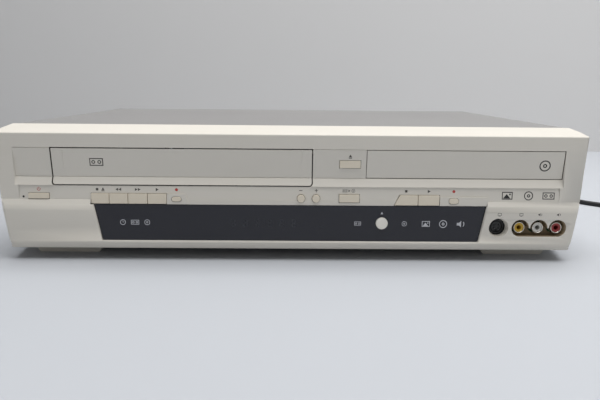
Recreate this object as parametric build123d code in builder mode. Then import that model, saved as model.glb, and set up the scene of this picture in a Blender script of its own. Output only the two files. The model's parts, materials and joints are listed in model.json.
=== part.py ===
from build123d import *
import os
from math import asin, atan2, cos, degrees, pi, radians, sin, sqrt, tan

os.makedirs("parts", exist_ok=True)

# A tape and disc recorder in one flat case. Millimetres. X to the right as seen from the
# front, Y to the back, Z up, origin on the floor under the middle of the case.
# A setback is a distance behind the foremost point of the front moulding.

# ---- overall size -------------------------------------------------------------------
width = 435.0                # front moulding, across its top corners
depth = 333.0                # front moulding to the ends of the rear sockets
height = 99.5                # floor to the top of the cover
front = -depth / 2
half_width = width / 2

# ---- sheet and moulding thicknesses ---------------------------------------------------
panel_wall = 2.4             # front moulding
cover_sheet = 1.0            # steel cover
pan_sheet = 1.0              # steel base
rear_sheet = 1.2             # steel rear panel
chassis_sheet = 1.5          # tape deck's plate
board_thickness = 1.6        # circuit boards

# ---- clearances -----------------------------------------------------------------------
sheet_gap = 0.2              # between sheets of the case
flap_gap = 0.8               # round the tape door
door_gap = 0.4               # round the tray front
key_gap = 0.3                # round each key
plate_gap = 0.15             # round the window
running_gap = 0.05           # radial, shaft in its bore
slide_gap = 0.3              # beside a sliding piece
pulley_gap = 0.3             # belt to pulley, roller to shaft

# ---- front moulding -------------------------------------------------------------------
flange_depth = 6.0            # behind the panel's rear edge
panel_depth = 31.5           # foremost point to the cover's front edge
face_setback = 3.0           # flat upper face
brow_height = height - 4.7   # front edge of the sloping top strip
band_top = 84.0              # the door band leans back from here
crease_height = 62.5         # to here
ledge_height = 56.5          # and comes forward again to here
band_lean = 3.0              # how far it leans back
band_left = -half_width + 13.3
band_right = half_width - 16.0
key_band_left = -half_width + 16.2   # shallow step round the keys
key_band_right = half_width - 18.5
key_band_step = 0.3
key_band_lean = 0.6          # its top lies this much further back
crease_line = 0.4            # fine groove along the crease
groove_width = 0.35
groove_depth = 0.5
split_height = 46.0          # upper part above, narrower lower part below
waist_height = 40.5          # the lower part has swelled out by here
waist_setback = 0.0          # and is foremost here
jaw_middle_height = 28.0
jaw_middle_setback = 0.5
lip_height = 15.1            # top of the lip under the window
lip_setback = 1.4
skirt_height = 9.0           # underside
skirt_setback = 3.6
upper_low_half = half_width - 2.6   # half width of the upper part at the split
lower_top_half = half_width - 3.2
lower_low_half = half_width - 7.0   # at the seam above the skirt
seam_height = 16.3
skirt_half = half_width - 9.4
inner_setback = 5.6          # back of the front wall
bulge_setback = 17.0         # the upper part's side is still nearly at full width here
bulge_half = half_width - 0.6

# ---- window ---------------------------------------------------------------------------
window_top = 42.4
window_top_left = -146.9
window_top_right = 144.9
window_low_left = -141.4
window_low_right = 139.7
window_plate = 1.6
window_ledge = 2.0           # the plate sits on this much of the moulding
window_corner = 1.6

# ---- pads and feet --------------------------------------------------------------------
pad_outer = half_width - 18.7
pad_inner = pad_outer - 49.0
pad_setback = 25.0
pad_length = 26.0
pad_corner = 1.8
foot_radius = 15.0
foot_x = half_width - 52.5
foot_inset = 38.0            # from the rear face

# ---- cover, base and rear -------------------------------------------------------------
cover_half = half_width - 3.2
cover_corner = 3.5
cover_overhang = 1.5         # past the rear panel
pan_front = 8.0              # setback of the base's front edge
pan_flange = 14.0
socket_stand_out = 7.5       # rear sockets, beyond the rear panel
rear_face = depth / 2 - socket_stand_out
vent_length = 24.0
vent_width = 3.0
vent_pitch = 8.0
vent_columns = 14
vent_height = 72.0
vent_middle = 60.0           # Y of the middle of the side vents
screw_head = 3.6             # radius
screw_shank = 1.5
screw_head_height = 1.8
side_screw_height = 20.0
side_screw_y = (-95.0, 105.0)

# ---- tape door, tray, keys --------------------------------------------------------------
flap_left = -176.5
flap_right = 14.1
flap_low = 57.0
flap_top = 83.6
flap_thickness = 2.2
flap_corner = 2.0            # radius of its lower corners
flap_axis_setback = 7.4
flap_axis_height = 81.6
flap_pin = 1.3
flap_ear = 3.0
tray_left = 54.7
tray_right = 200.9
tray_low = 62.9
tray_top = 83.6
key_proud = 0.6
key_travel = 1.0
key_rest = 0.2               # stem to switch, at full travel
key_foot = 6.4               # setback of the back of a key's cap
key_stem = 1.6               # radius
row_top = 50.4               # key rows
row_low = 42.9

# ---- front board ------------------------------------------------------------------------
board_setback = 14.0
switch_height = 3.5
switch_side = 5.0
board_left = -half_width + 17.5
board_right = half_width - 14.5
board_low = 14.0
board_high = 54.0
tab_half = 11.0              # half width of the tab behind the tray's key
board_brackets = (-0.75, 0, 0.6)   # places, as shares of the board's right end
tube_left = -72.0
tube_right = 32.0
tube_low = 20.0
tube_high = 36.0
tube_setback = 6.6

# ---- front sockets ------------------------------------------------------------------------
jack_x = half_width - 33.1   # middle of the three
jack_pitch = 14.0
jack_height = 26.5
jack_barrel = 4.15
jack_collar = 5.2            # radius of the collar at each barrel's root
jack_bore = 1.65
jack_body = 5.5              # half width of the block behind each
jack_end = 3.0               # setback of the barrels' ends
jack_well = 6.5              # radius of the well round each
well_setback = 10.0          # the wells' floor
mini_x = 154.2               # round multi-pin socket
mini_height = 26.5
mini_radius = 5.6
mini_mouth = 7.5
mini_setback = 6.6

# ---- tape deck ------------------------------------------------------------------------------
deck_x = (flap_left + flap_right) / 2
deck_height = 30.0           # underside of the plate
deck_left = -187.0
deck_right = 25.0
deck_front = 30.0            # setbacks
deck_back = 238.0
deck_post = 4.0
holder_half = 95.0           # cassette holder, outside
holder_sheet = 0.9
load_down = 20.0             # the holder's drop at the end of the loader's travel
holder_low = deck_height + chassis_sheet + load_down + 4.5
holder_high = 84.0
holder_front = 37.0
holder_length = 56.0
holder_ledge = 18.0
loader_sheet = 1.2
loader_low = holder_low - 4.0
loader_high = holder_high + 3.0
loader_roof = 1.8
load_in = 60.0               # the loader's travel
rail_sheet = 1.2
guide_pin = 2.0
reel_spacing = 71.2
reel_setback = 105.0
reel_radius = 19.0
reel_hub = 6.0
reel_shaft = 2.0
reel_top = 46.0
drum_setback = 196.0
drum_radius = 31.0
drum_tilt = 6.0
drum_seat = 38.0             # pedestal's top
lower_drum_height = 12.0
upper_drum_height = 16.0
drum_shaft = 3.0
capstan_x = deck_x + 58.0
capstan_setback = 166.0
capstan_shaft = 2.5
capstan_top = 60.0
flywheel_radius = 22.0
capstan_pulley = 9.0
belt_low = 24.6
belt_height = 2.4
belt_thickness = 1.2
clutch_setback = 118.0
clutch_radius = 14.0
clutch_shaft = 2.0
roller_radius = 7.0
roller_low = 39.5
roller_height = 16.0
arm_reach = 31.0
arm_offset = 20.0            # its pivot, to the right of the capstan
arm_swing = 14.0
arm_low = 36.0
arm_thickness = 2.5
arm_pin = 2.0
roller_pin = 1.5

# ---- disc drive -------------------------------------------------------------------------------
drive_x = (tray_left + tray_right) / 2
drive_half = 71.0
drive_front = 18.0
drive_back = 192.0
drive_low = 50.0
drive_high = 84.0
drive_floor = 2.0
drive_wall = 2.5
disc_tray_half = 65.0
disc_tray_low = 66.0
disc_tray_height = 6.0
disc_tray_front = 9.0
tray_travel = 140.0
disc_tray_length = tray_travel + 20.0
disc_radius = 60.6
disc_setback = 80.0
disc_well = 3.0
well_middle = disc_tray_front + disc_setback - 9.0
small_disc_radius = 40.5
small_disc_well = 1.2
spindle_window = 17.0
module = 1.0                 # rack and pinion
pinion_teeth = 14
pinion_setback = 26.0
rack_x = drive_x - 54.0      # pitch line
rack_height = disc_tray_low - tray_low + 0.1   # it passes over the opening's lower edge
rack_back = 2.5
backlash = 0.35
traverse_half = 43.0
traverse_front = 38.0
traverse_sheet = 1.6
traverse_pin = 1.5
rod_radius = 1.5
rod_spread = 30.0
rod_height = 55.5
sled_start = 105.5           # setback of its middle, innermost
sled_length = 14.0
sled_travel = 33.0
traverse_back = sled_start + sled_travel + sled_length / 2 + 14.5
spindle_radius = 13.0
spindle_top = 62.5
screw_radius = 1.6
bridge_width = 22.0
bridge_sheet = 2.0
puck_radius = 15.0
puck_low = 78.0

# ---- boards and boxes at the back ----------------------------------------------------------------
main_height = 20.0
main_left = 29.0
main_right = half_width - 10.5
main_front = 64.0
main_back_gap = 4.0          # to the rear panel
# Places on the main board, from its left front corner.
chips = ((61.0, 46.0, 28.0, 28.0), (106.0, 26.0, 20.0, 14.0))   # right, behind, width, length
chip_height = 2.5
fins_right, fins_behind = 89.0, 151.0
fin_count = 6
fin_pitch = 5.0
fin_thickness = 2.0
fin_length = 35.0
fin_height = 22.0
# Right, behind, radius, height.
capacitors = ((167.0, 152.0, 6.0, 18.0), (149.0, 152.0, 6.0, 18.0), (76.0, 161.0, 5.0, 14.0),
              (19.0, 116.0, 4.0, 10.0))
tuner_left = 30.0
tuner_right = 72.0
tuner_length = 62.0
tuner_high = 50.0
aerial_radius = 4.6
aerial_collar = 5.6
aerial_spacing = 18.0
aerial_height = 38.0
sockets_left = 80.0
sockets_right = 140.0
sockets_high = 60.0
socket_pitch = 14.0
socket_rows = 2
socket_columns = 4
socket_low = 31.0
transformer_x = half_width - 41.5
transformer_y = 86.0
transformer_side = 40.0
fan_x = -130.0
fan_height = 56.0
fan_side = 50.0
fan_depth = 15.0
fan_bore = 23.0
fan_hub = 10.0
fan_shaft = 1.5
grille_rings = (8.0, 14.0, 20.0)
grille_hole = 1.7            # radius
blade_count = 7

# ---- power cord ----------------------------------------------------------------------------------
cord = 5.0                   # diameter
exit_x = 190.0
exit_height = 32.0
relief_length = 26.0
relief_root = 4.6            # radius at the rear panel
relief_tip = 3.2


def facing(setback):
    """Upright plane that faces forward, at a setback; its axes are X and Z."""
    return Plane.XZ.offset(-(front + setback))


def across(x):
    """Upright plane across the case at X; its axes are Y and Z."""
    return Plane.YZ.offset(x)


def level(z):
    """Level plane at a height; its axes are X and Y."""
    return Plane.XY.offset(z)


def side_view(*points):
    """Corners given as setback and height, in the axes of across()."""
    return [(front + setback, z) for setback, z in points]


def block(left, right, near, far, low, high, mode=Mode.ADD):
    """Box between X values, setbacks and heights, in the open part."""
    size = (right - left, far - near, high - low)
    with Locations(((left + right) / 2, front + (near + far) / 2, (low + high) / 2)):
        Box(*size, mode=mode)


def post(x, setback, low, high, radius, mode=Mode.ADD):
    """Upright cylinder, in the open part."""
    with Locations((x, front + setback, (low + high) / 2)):
        Cylinder(radius, high - low, mode=mode)


# ==== keys' outlines =================================================================================
# Each: outline corners or round shape, in X and Z, and the setback of the face it stands on.
key_slope = band_lean / (band_top - crease_height)



def band_setback(z):
    """Setback of the door band's surface at a height."""
    if z > crease_height:
        return face_setback + (band_top - z) * key_slope
    return face_setback + (z - ledge_height) * band_lean / (crease_height - ledge_height)


tray_key_middle = 73.1
tray_key_face = band_setback(tray_key_middle)


def upright(left, right, low=row_low, high=row_top):
    return [(left, low), (right, low), (right, high), (left, high)]


half_gap = key_gap / 2 + 0.05
flat_keys = {
    "power_button": (upright(-194.5, -179.4, 46.4, 50.3), face_setback),
    "tape_stop_button": (upright(-148.6, -135.4 - half_gap), face_setback),
    "rewind_button": (upright(-135.4 + half_gap, -121.6 - half_gap), face_setback),
    "forward_button": (upright(-121.6 + half_gap, -107.2 - half_gap), face_setback),
    "tape_play_button": (upright(-107.2 + half_gap, -93.2), face_setback),
    "dubbing_button": (upright(34.6, 49.6, 44.8, 50.7), face_setback),
    "open_close_button": (upright(34.6, 50.1, 70.3, 75.9), tray_key_face),
    "disc_stop_button": ([(75.7, row_low), (93.4 - half_gap, row_low),
                          (93.4 - half_gap, row_top), (79.9, row_top)], face_setback),
    "disc_play_button": (upright(93.4 + half_gap, 109.3), face_setback),
}
# Round and oval keys: middle X and Z, length, height.
round_keys = {
    "tape_record_button": (-85.8, 46.5, 7.0, 3.4),
    "channel_down_button": (6.3, 47.5, 5.8, 5.8),
    "channel_up_button": (17.4, 47.5, 5.8, 5.8),
    "select_button": (66.8, 29.1, 8.8, 8.8),
    "disc_record_button": (120.0, 46.3, 7.2, 4.2),
}


def key_middle(name):
    """X and Z of a key's middle."""
    if name in round_keys:
        return round_keys[name][:2]
    corners = flat_keys[name][0]
    return sum(x for x, z in corners) / 4, sum(z for x, z in corners) / 4


def round_outline(x, z, length, tall, grow=0.0):
    """Round or oval outline in the open sketch."""
    with Locations((x, z)):
        if length > tall:
            SlotOverall(length + 2 * grow, tall + 2 * grow)
        else:
            Circle(length / 2 + grow)


# ==== case ===========================================================================================
with BuildPart() as front_panel:
    # Two lofted bodies give the ends: wide above the split, narrower and tapering below it.
    for setback, top_half, low_half in ((face_setback, half_width, upper_low_half),
                                        (bulge_setback, bulge_half, upper_low_half - 0.2),
                                        (panel_depth, cover_half, cover_half)):
        with BuildSketch(facing(setback)):
            Polygon((-low_half, split_height), (low_half, split_height), (top_half, brow_height),
                    (top_half, height + 1), (-top_half, height + 1), (-top_half, brow_height), align=None)
    loft(ruled=True)
    lower_halves = (lower_top_half, lower_low_half, skirt_half)
    for setback, halves in ((0, lower_halves), (panel_depth, (cover_half,) * 3)):
        with BuildSketch(facing(setback)):
            top_half, seam_half, low_half = halves
            Polygon((-low_half, skirt_height), (low_half, skirt_height), (seam_half, seam_height),
                    (top_half, split_height), (-top_half, split_height), (-seam_half, seam_height),
                    align=None)
    loft(ruled=True)
    # Front profile, the same all along.
    with BuildSketch(across(0)):
        with BuildLine():
            brow = side_view((panel_depth, skirt_height), (panel_depth, height), (face_setback, brow_height),
                             (face_setback, split_height), (waist_setback, waist_height))
            Polyline(*brow)
            jaw = side_view((waist_setback, waist_height), (jaw_middle_setback, jaw_middle_height),
                            (lip_setback, lip_height))
            ThreePointArc(*jaw)
            chin = side_view((lip_setback, lip_height), (lip_setback + 0.6, skirt_height + 2.5),
                             (skirt_setback, skirt_height))
            ThreePointArc(*chin)
            Line(chin[-1], brow[0])
        make_face()
    extrude(amount=width, both=True, mode=Mode.INTERSECT)
    # The door band leans back to a crease and the ledge under it comes forward again.
    with BuildSketch(across(band_left)):
        Polygon(*side_view((-1, band_top), (face_setback, band_top),
                           (face_setback + band_lean, crease_height),
                           (face_setback, ledge_height), (-1, ledge_height)), align=None)
    extrude(amount=band_right - band_left, mode=Mode.SUBTRACT)
    with BuildSketch(across(key_band_left)):
        Polygon(*side_view((-1, ledge_height), (face_setback + key_band_step + key_band_lean, ledge_height),
                           (face_setback + key_band_step, split_height), (-1, split_height)), align=None)
    extrude(amount=key_band_right - key_band_left, mode=Mode.SUBTRACT)
    block(band_left, band_right, -1, face_setback + band_lean + crease_line,
          crease_height - crease_line / 2, crease_height + crease_line / 2, mode=Mode.SUBTRACT)
    # Fine groove along the band's top.
    block(band_left, band_right, -1, face_setback + groove_depth, band_top - groove_width / 2,
          band_top + groove_width / 2, mode=Mode.SUBTRACT)
    # The swelling stops short of the window.
    with BuildSketch(facing(-1)):
        slant = (window_low_left - window_top_left) / (window_top - lip_height)
        reach = split_height - window_top
        Polygon((window_top_left - slant * reach, split_height), (window_top_left, window_top),
                (window_low_left, lip_height), (window_low_right, lip_height), (window_top_right, window_top),
                (window_top_right + slant * reach, split_height), align=None)
    extrude(amount=-(1 + face_setback), mode=Mode.SUBTRACT)
    # Raised cells beside the record keys.
    with BuildSketch(facing(face_setback - key_proud)):
        Polygon((-92.8, row_low), (-76.4, row_low), (-79.6, row_top), (-92.8, row_top), align=None)
        Polygon((109.7, row_low), (144.6, row_low), (146.3, 47.6), (144.4, 49.3), (109.7, 49.3), align=None)
    extrude(amount=-(key_proud + panel_wall))
    # Hollow inside.
    for half, low in ((skirt_half - panel_wall, skirt_height + panel_wall),
                      (cover_half - panel_wall, split_height + panel_wall)):
        with BuildSketch(across(0)):
            inside_crease = face_setback + band_lean + panel_wall
            Polygon(*side_view((panel_depth + 1, low), (inner_setback, low), (inner_setback, ledge_height),
                               (inside_crease, crease_height), (inner_setback, band_top),
                               (inner_setback, brow_height - panel_wall),
                               (panel_depth + 1, height - panel_wall)), align=None)
        extrude(amount=half, both=True, mode=Mode.SUBTRACT)
    # Flange under the cover's front edge, and the walls behind the front sockets.
    flange_half = cover_half - 2 * panel_wall
    flange_top = height - cover_sheet - sheet_gap
    block(-flange_half, flange_half, panel_depth - panel_wall, panel_depth + flange_depth,
          flange_top - panel_wall, flange_top)
    block(jack_x - jack_pitch - jack_well - panel_wall, skirt_half - panel_wall / 2,
          inner_setback - 1, well_setback + panel_wall,
          jack_height - jack_well - panel_wall, jack_height + jack_well + panel_wall)
    # Moulded pads, with tongues that reach back under the base.
    for side in (-1, 1):
        left, right = sorted((side * pad_inner, side * pad_outer))
        block(left, right, panel_depth - 1, pad_setback + pad_length, skirt_height, skirt_height + panel_wall)
        with BuildSketch(facing(pad_setback)):
            Polygon((left, skirt_height + 0.5), (left, pad_corner), (left + pad_corner, 0),
                    (right - pad_corner, 0), (right, pad_corner), (right, skirt_height + 0.5), align=None)
        extrude(amount=-pad_length)
    # Openings: tape door, tray, window, keys.
    with BuildSketch(facing(-1)):
        with Locations(((flap_left + flap_right) / 2, (flap_low + flap_top) / 2)):
            opening = Rectangle(flap_right - flap_left + 2 * flap_gap, flap_top - flap_low + 2 * flap_gap)
        fillet(opening.vertices().group_by(Axis.Y)[0], flap_corner + flap_gap)
    extrude(amount=-(inside_crease + 2), mode=Mode.SUBTRACT)
    block(tray_left - door_gap, tray_right + door_gap, -1, inside_crease + 1,
          tray_low - door_gap, tray_top + door_gap, mode=Mode.SUBTRACT)
    with BuildSketch(facing(0)):
        Polygon((window_low_left - plate_gap, lip_height), (window_low_right + plate_gap, lip_height),
                (window_top_right + plate_gap, window_top + plate_gap),
                (window_top_left - plate_gap, window_top + plate_gap), align=None)
    extrude(amount=-(face_setback + window_plate), mode=Mode.SUBTRACT)
    with BuildSketch(facing(0)):
        Polygon((window_low_left + window_ledge, lip_height + window_ledge),
                (window_low_right - window_ledge, lip_height + window_ledge),
                (window_top_right - window_ledge, window_top - window_ledge),
                (window_top_left + window_ledge, window_top - window_ledge), align=None)
    extrude(amount=-(inner_setback + 1), mode=Mode.SUBTRACT)
    with BuildSketch(facing(-1)):
        Polygon(*upright(-148.6 - key_gap, -93.2 + key_gap, window_top + plate_gap, row_top + key_gap),
                align=None)
        Polygon((75.7 - key_gap, window_top + plate_gap), (109.3 + key_gap, window_top + plate_gap),
                (109.3 + key_gap, row_top + key_gap), (79.9 - key_gap, row_top + key_gap),
                (75.7 - key_gap, row_low), align=None)
        for name in ("power_button", "dubbing_button", "open_close_button"):
            (left, low), _, (right, high), _ = flat_keys[name][0]
            Polygon(*upright(left - key_gap, right + key_gap, low - key_gap, high + key_gap), align=None)
        for name in round_keys:
            if name != "select_button":
                round_outline(*round_keys[name], grow=key_gap)
    extrude(amount=-(inside_crease + 2), mode=Mode.SUBTRACT)
    # Wells round the three sockets, joined low down, and a cone round the multi-pin one.
    with BuildSketch(facing(-1)):
        with Locations((jack_x, jack_height)):
            with GridLocations(jack_pitch, 0, 3, 1):
                Circle(jack_well)
        with Locations((jack_x, jack_height - jack_well / 2)):
            Rectangle(2 * jack_pitch, jack_well)
    extrude(amount=-(1 + well_setback), mode=Mode.SUBTRACT)
    with BuildSketch(facing(-1)):
        with Locations((jack_x, jack_height)):
            with GridLocations(jack_pitch, 0, 3, 1):
                Circle(jack_collar + plate_gap)
    extrude(amount=-(well_setback + panel_wall + 2), mode=Mode.SUBTRACT)
    for setback, radius in ((-0.1, mini_mouth), (inner_setback + 0.1, mini_radius + 0.6)):
        with BuildSketch(facing(setback)):
            with Locations((mini_x, mini_height)):
                Circle(radius)
    loft(mode=Mode.SUBTRACT)
    # Ears that hold the tape door's pins.
    for left in (flap_left - flap_gap - flap_ear, flap_right + flap_gap):
        block(left, left + flap_ear, face_setback + 1, flap_axis_setback + 3,
              flap_axis_height - 3, flap_top + 3)
    with BuildSketch(across(flap_left - 10)):
        with Locations(side_view((flap_axis_setback, flap_axis_height))[0]):
            Circle(flap_pin + running_gap)
    extrude(amount=flap_right - flap_left + 20, mode=Mode.SUBTRACT)
front_panel.part.label = "front_panel"
export_step(front_panel.part, "parts/front_panel.step")

with BuildPart() as display_window:
    with BuildSketch(facing(face_setback)):
        Polygon((window_low_left, lip_height + plate_gap), (window_low_right, lip_height + plate_gap),
                (window_top_right, window_top), (window_top_left, window_top), align=None)
    extrude(amount=-window_plate)
    low_corners = display_window.edges().filter_by(Axis.Y).group_by(Axis.Z)[0]
    fillet(low_corners, window_corner)
    with BuildSketch(facing(face_setback - 1)):
        round_outline(*round_keys["select_button"], grow=key_gap)
    extrude(amount=-(window_plate + 2), mode=Mode.SUBTRACT)
display_window.part.label = "display_window"
export_step(display_window.part, "parts/display_window.step")

cover_front = panel_depth + sheet_gap
cover_inner = cover_half - cover_sheet
rear_setback = rear_face - front
with BuildPart() as top_cover:
    with BuildSketch(facing(cover_front)):
        with Locations((0, (skirt_height + height) / 2)):
            outline = Rectangle(2 * cover_half, height - skirt_height)
        fillet(outline.vertices().group_by(Axis.Y)[-1], cover_corner)
    extrude(amount=-(rear_setback + cover_overhang - cover_front))
    with BuildSketch(facing(cover_front - 1)):
        with Locations((0, (skirt_height - 1 + height - cover_sheet) / 2)):
            hollow = Rectangle(2 * cover_inner, height - cover_sheet - skirt_height + 1)
        fillet(hollow.vertices().group_by(Axis.Y)[-1], cover_corner - cover_sheet)
    extrude(amount=-(rear_setback + 4), mode=Mode.SUBTRACT)
    # Side vents and holes for the side screws.
    with BuildSketch(across(-half_width)):
        with Locations((vent_middle, vent_height)):
            with GridLocations(vent_pitch, 0, vent_columns, 1):
                SlotOverall(vent_length, vent_width, rotation=90)
        for y in side_screw_y:
            with Locations((y, side_screw_height)):
                Circle(screw_shank + plate_gap)
    extrude(amount=width, mode=Mode.SUBTRACT)
top_cover.part.label = "top_cover"
export_step(top_cover.part, "parts/top_cover.step")

floor_low = skirt_height + panel_wall
floor_high = floor_low + pan_sheet
pan_half = cover_inner - sheet_gap
pan_back = rear_setback - rear_sheet
with BuildPart() as base_pan:
    block(-skirt_half + 2 * panel_wall, skirt_half - 2 * panel_wall, pan_front, panel_depth + 1,
          floor_low, floor_high)
    block(-pan_half, pan_half, panel_depth + sheet_gap, rear_setback, floor_low, floor_high)
    for left in (-pan_half, pan_half - pan_sheet):
        block(left, left + pan_sheet, panel_depth + 8, pan_back, floor_low, floor_high + pan_flange)
    with BuildSketch(across(-half_width)):
        for y in side_screw_y:
            with Locations((y, side_screw_height)):
                Circle(screw_shank - 0.1)
    extrude(amount=width, mode=Mode.SUBTRACT)
    # Cooling slots under the boards.
    with BuildSketch(level(floor_low - 1)):
        with Locations(((main_left + main_right) / 2, 30), (deck_x, 120)):
            with GridLocations(vent_pitch, 0, vent_columns, 1):
                SlotOverall(2 * vent_length, vent_width, rotation=90)
    extrude(amount=pan_sheet + 2, mode=Mode.SUBTRACT)
base_pan.part.label = "base_pan"
export_step(base_pan.part, "parts/base_pan.step")

tuner_middle = (tuner_left + tuner_right) / 2
aerial_spots = [(tuner_middle + side * aerial_spacing / 2, aerial_height) for side in (-1, 1)]
sockets_middle = (sockets_left + sockets_right) / 2
sockets_height = socket_low + socket_pitch * socket_rows / 2
with BuildPart() as rear_panel:
    block(-pan_half, pan_half, rear_setback - rear_sheet, rear_setback, floor_high,
          height - cover_sheet - sheet_gap)
    fillet(rear_panel.edges().filter_by(Axis.Y).group_by(Axis.Z)[-1], cover_corner - cover_sheet)
    with BuildSketch(facing(rear_setback - 3)):
        with Locations(*aerial_spots):
            Circle(aerial_collar + plate_gap)
        with Locations((sockets_middle, sockets_height)):
            with GridLocations(socket_pitch, socket_pitch, socket_columns, socket_rows):
                Circle(jack_collar + plate_gap)
        with Locations((exit_x, exit_height)):
            Circle(relief_root)
        with Locations((fan_x, fan_height)):
            for ring in grille_rings:
                with PolarLocations(ring, round(ring), 0):
                    Circle(grille_hole)
    extrude(amount=-6, mode=Mode.SUBTRACT)
rear_panel.part.label = "rear_panel"
export_step(rear_panel.part, "parts/rear_panel.step")

foot_y = rear_face - foot_inset
with BuildPart() as rear_feet:
    with Locations((-foot_x, foot_y, floor_low / 2), (foot_x, foot_y, floor_low / 2)):
        Cylinder(foot_radius, floor_low)
    fillet(rear_feet.edges().filter_by(GeomType.CIRCLE).group_by(Axis.Z)[0], 1.5)
rear_feet.part.label = "rear_feet"
export_step(rear_feet.part, "parts/rear_feet.step")

with BuildPart() as case_screws:
    # Two on each side of the cover, cross-slotted.
    for side in (-1, 1):
        for y in side_screw_y:
            head_plane = Plane((side * cover_half, y, side_screw_height), x_dir=(0, 1, 0), z_dir=(side, 0, 0))
            with BuildSketch(head_plane):
                Circle(screw_head)
            extrude(amount=screw_head_height)
            with BuildSketch(head_plane):
                Circle(screw_shank - 0.1)
            extrude(amount=-6.0)
            with BuildSketch(head_plane.offset(screw_head_height - 0.7)):
                Rectangle(0.8, 4.2)
                Rectangle(4.2, 0.8)
            extrude(amount=2, mode=Mode.SUBTRACT)
case_screws.part.label = "case_screws"
export_step(case_screws.part, "parts/case_screws.step")

# ==== boards and sockets =============================================================================
board_back = board_setback + board_thickness
with BuildPart() as front_board:
    block(board_left, board_right, board_setback, board_back, board_low, board_high)
    tab_x, tab_z = key_middle("open_close_button")
    block(tab_x - tab_half, tab_x + tab_half, board_setback, board_back, board_high, tab_z + switch_side)
    # One switch behind each key.
    for name in list(flat_keys) + list(round_keys):
        x, z = key_middle(name)
        block(x - switch_side / 2, x + switch_side / 2, board_setback - switch_height, board_setback,
              z - switch_side / 2, z + switch_side / 2)
    # Brackets down to the base.
    for share in board_brackets:
        x = share * board_right
        block(x - 6, x + 6, board_back, board_back + 8, floor_high, floor_high + 1.5)
        block(x - 6, x + 6, board_back, board_back + 1.5, floor_high, board_low + 8)
front_board.part.label = "front_board"
export_step(front_board.part, "parts/front_board.step")

with BuildPart() as display_tube:
    block(tube_left, tube_right, tube_setback, board_setback, tube_low, tube_high)
    fillet(display_tube.edges().filter_by(Axis.Y), 1.0)
    block(tube_left + 6, tube_right - 6, tube_setback, tube_setback + 0.4, tube_low + 3, tube_high - 3,
          mode=Mode.SUBTRACT)
display_tube.part.label = "display_tube"
export_step(display_tube.part, "parts/display_tube.step")

with BuildPart() as s_video_socket:
    block(mini_x - 6.5, mini_x + 6.5, mini_setback + 1, board_setback, mini_height - 6.5, mini_height + 6.5)
    with BuildSketch(facing(mini_setback)):
        with Locations((mini_x, mini_height)):
            Circle(mini_radius)
    extrude(amount=-2)
    # Ring groove, four pin holes and the key slot.
    with BuildSketch(facing(mini_setback)):
        with Locations((mini_x, mini_height)):
            Circle(4.6)
            Circle(3.9, mode=Mode.SUBTRACT)
            with GridLocations(3.2, 2.4, 2, 2):
                Circle(0.5)
            with Locations((0, -2.9)):
                Rectangle(2.0, 0.9)
    extrude(amount=-3.5, mode=Mode.SUBTRACT)
s_video_socket.part.label = "s_video_socket"
export_step(s_video_socket.part, "parts/s_video_socket.step")

for place, name in enumerate(("yellow_jack", "white_jack", "red_jack")):
    x = jack_x + (place - 1) * jack_pitch
    with BuildPart() as jack:
        with BuildSketch(facing(jack_end)):
            with Locations((x, jack_height)):
                Circle(jack_barrel)
        extrude(amount=-(board_setback - jack_end))
        with BuildSketch(facing(well_setback)):
            with Locations((x, jack_height)):
                Circle(jack_collar)
        extrude(amount=-(board_setback - well_setback))
        block(x - jack_body, x + jack_body, well_setback + panel_wall + 0.1, board_setback,
              jack_height - jack_body, jack_height + jack_body)
        with BuildSketch(facing(jack_end)):
            with Locations((x, jack_height)):
                Circle(jack_bore)
        extrude(amount=-8.5, mode=Mode.SUBTRACT)
    jack.part.label = name
    export_step(jack.part, f"parts/{name}.step")

# Keys: cap through the moulding, and a stem that stops just short of its switch.
stem_end = board_setback - switch_height - key_travel - key_rest
for name in list(flat_keys) + list(round_keys):
    x, z = key_middle(name)
    with BuildPart() as key:
        if name in flat_keys:
            corners, face = flat_keys[name]
            with BuildSketch(facing(face - key_proud)):
                Polygon(*corners, align=None)
            extrude(amount=-(max(key_foot, face + 3) - face + key_proud))
            fillet(key.faces().sort_by(Axis.Y)[0].edges(), 0.35)
        else:
            with BuildSketch(facing(face_setback - 2 * key_proud)):
                round_outline(*round_keys[name])
            extrude(amount=-(key_foot - face_setback + 2 * key_proud))
            fillet(key.faces().sort_by(Axis.Y)[0].edges(), 0.4)
        with BuildSketch(facing(face_setback + 1)):
            with Locations((x, z)):
                Circle(key_stem)
        extrude(amount=-(stem_end - face_setback - 1))
    key.part.label = name
    export_step(key.part, f"parts/{name}.step")

main_back = rear_setback - rear_sheet - main_back_gap
main_top = main_height + board_thickness
drive_post = 4.0
drive_posts_back = drive_back - 8
with BuildPart() as main_board:
    block(main_left, main_right, main_front, main_back, main_height, main_height + board_thickness)
    for x in (drive_x - drive_half + 8, drive_x + drive_half - 8):
        post(x, drive_posts_back, main_height - 1, main_top + 1, drive_post + 1, mode=Mode.SUBTRACT)
    # Stand-offs, chips, heat sink fins and capacitors.
    for x in (main_left + 8, main_right - 8):
        for setback in (main_front + 8, main_back - 8):
            post(x, setback, floor_high, main_height, 3.0)
    for right, behind, wide, long in chips:
        block(main_left + right, main_left + right + wide, main_front + behind, main_front + behind + long,
              main_top, main_top + chip_height)
    for fin in range(fin_count):
        left = main_left + fins_right + fin * fin_pitch
        block(left, left + fin_thickness, main_front + fins_behind, main_front + fins_behind + fin_length,
              main_top, main_top + fin_height)
    for right, behind, radius, tall in capacitors:
        post(main_left + right, main_front + behind, main_top, main_top + tall, radius)
main_board.part.label = "main_board"
export_step(main_board.part, "parts/main_board.step")

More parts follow.
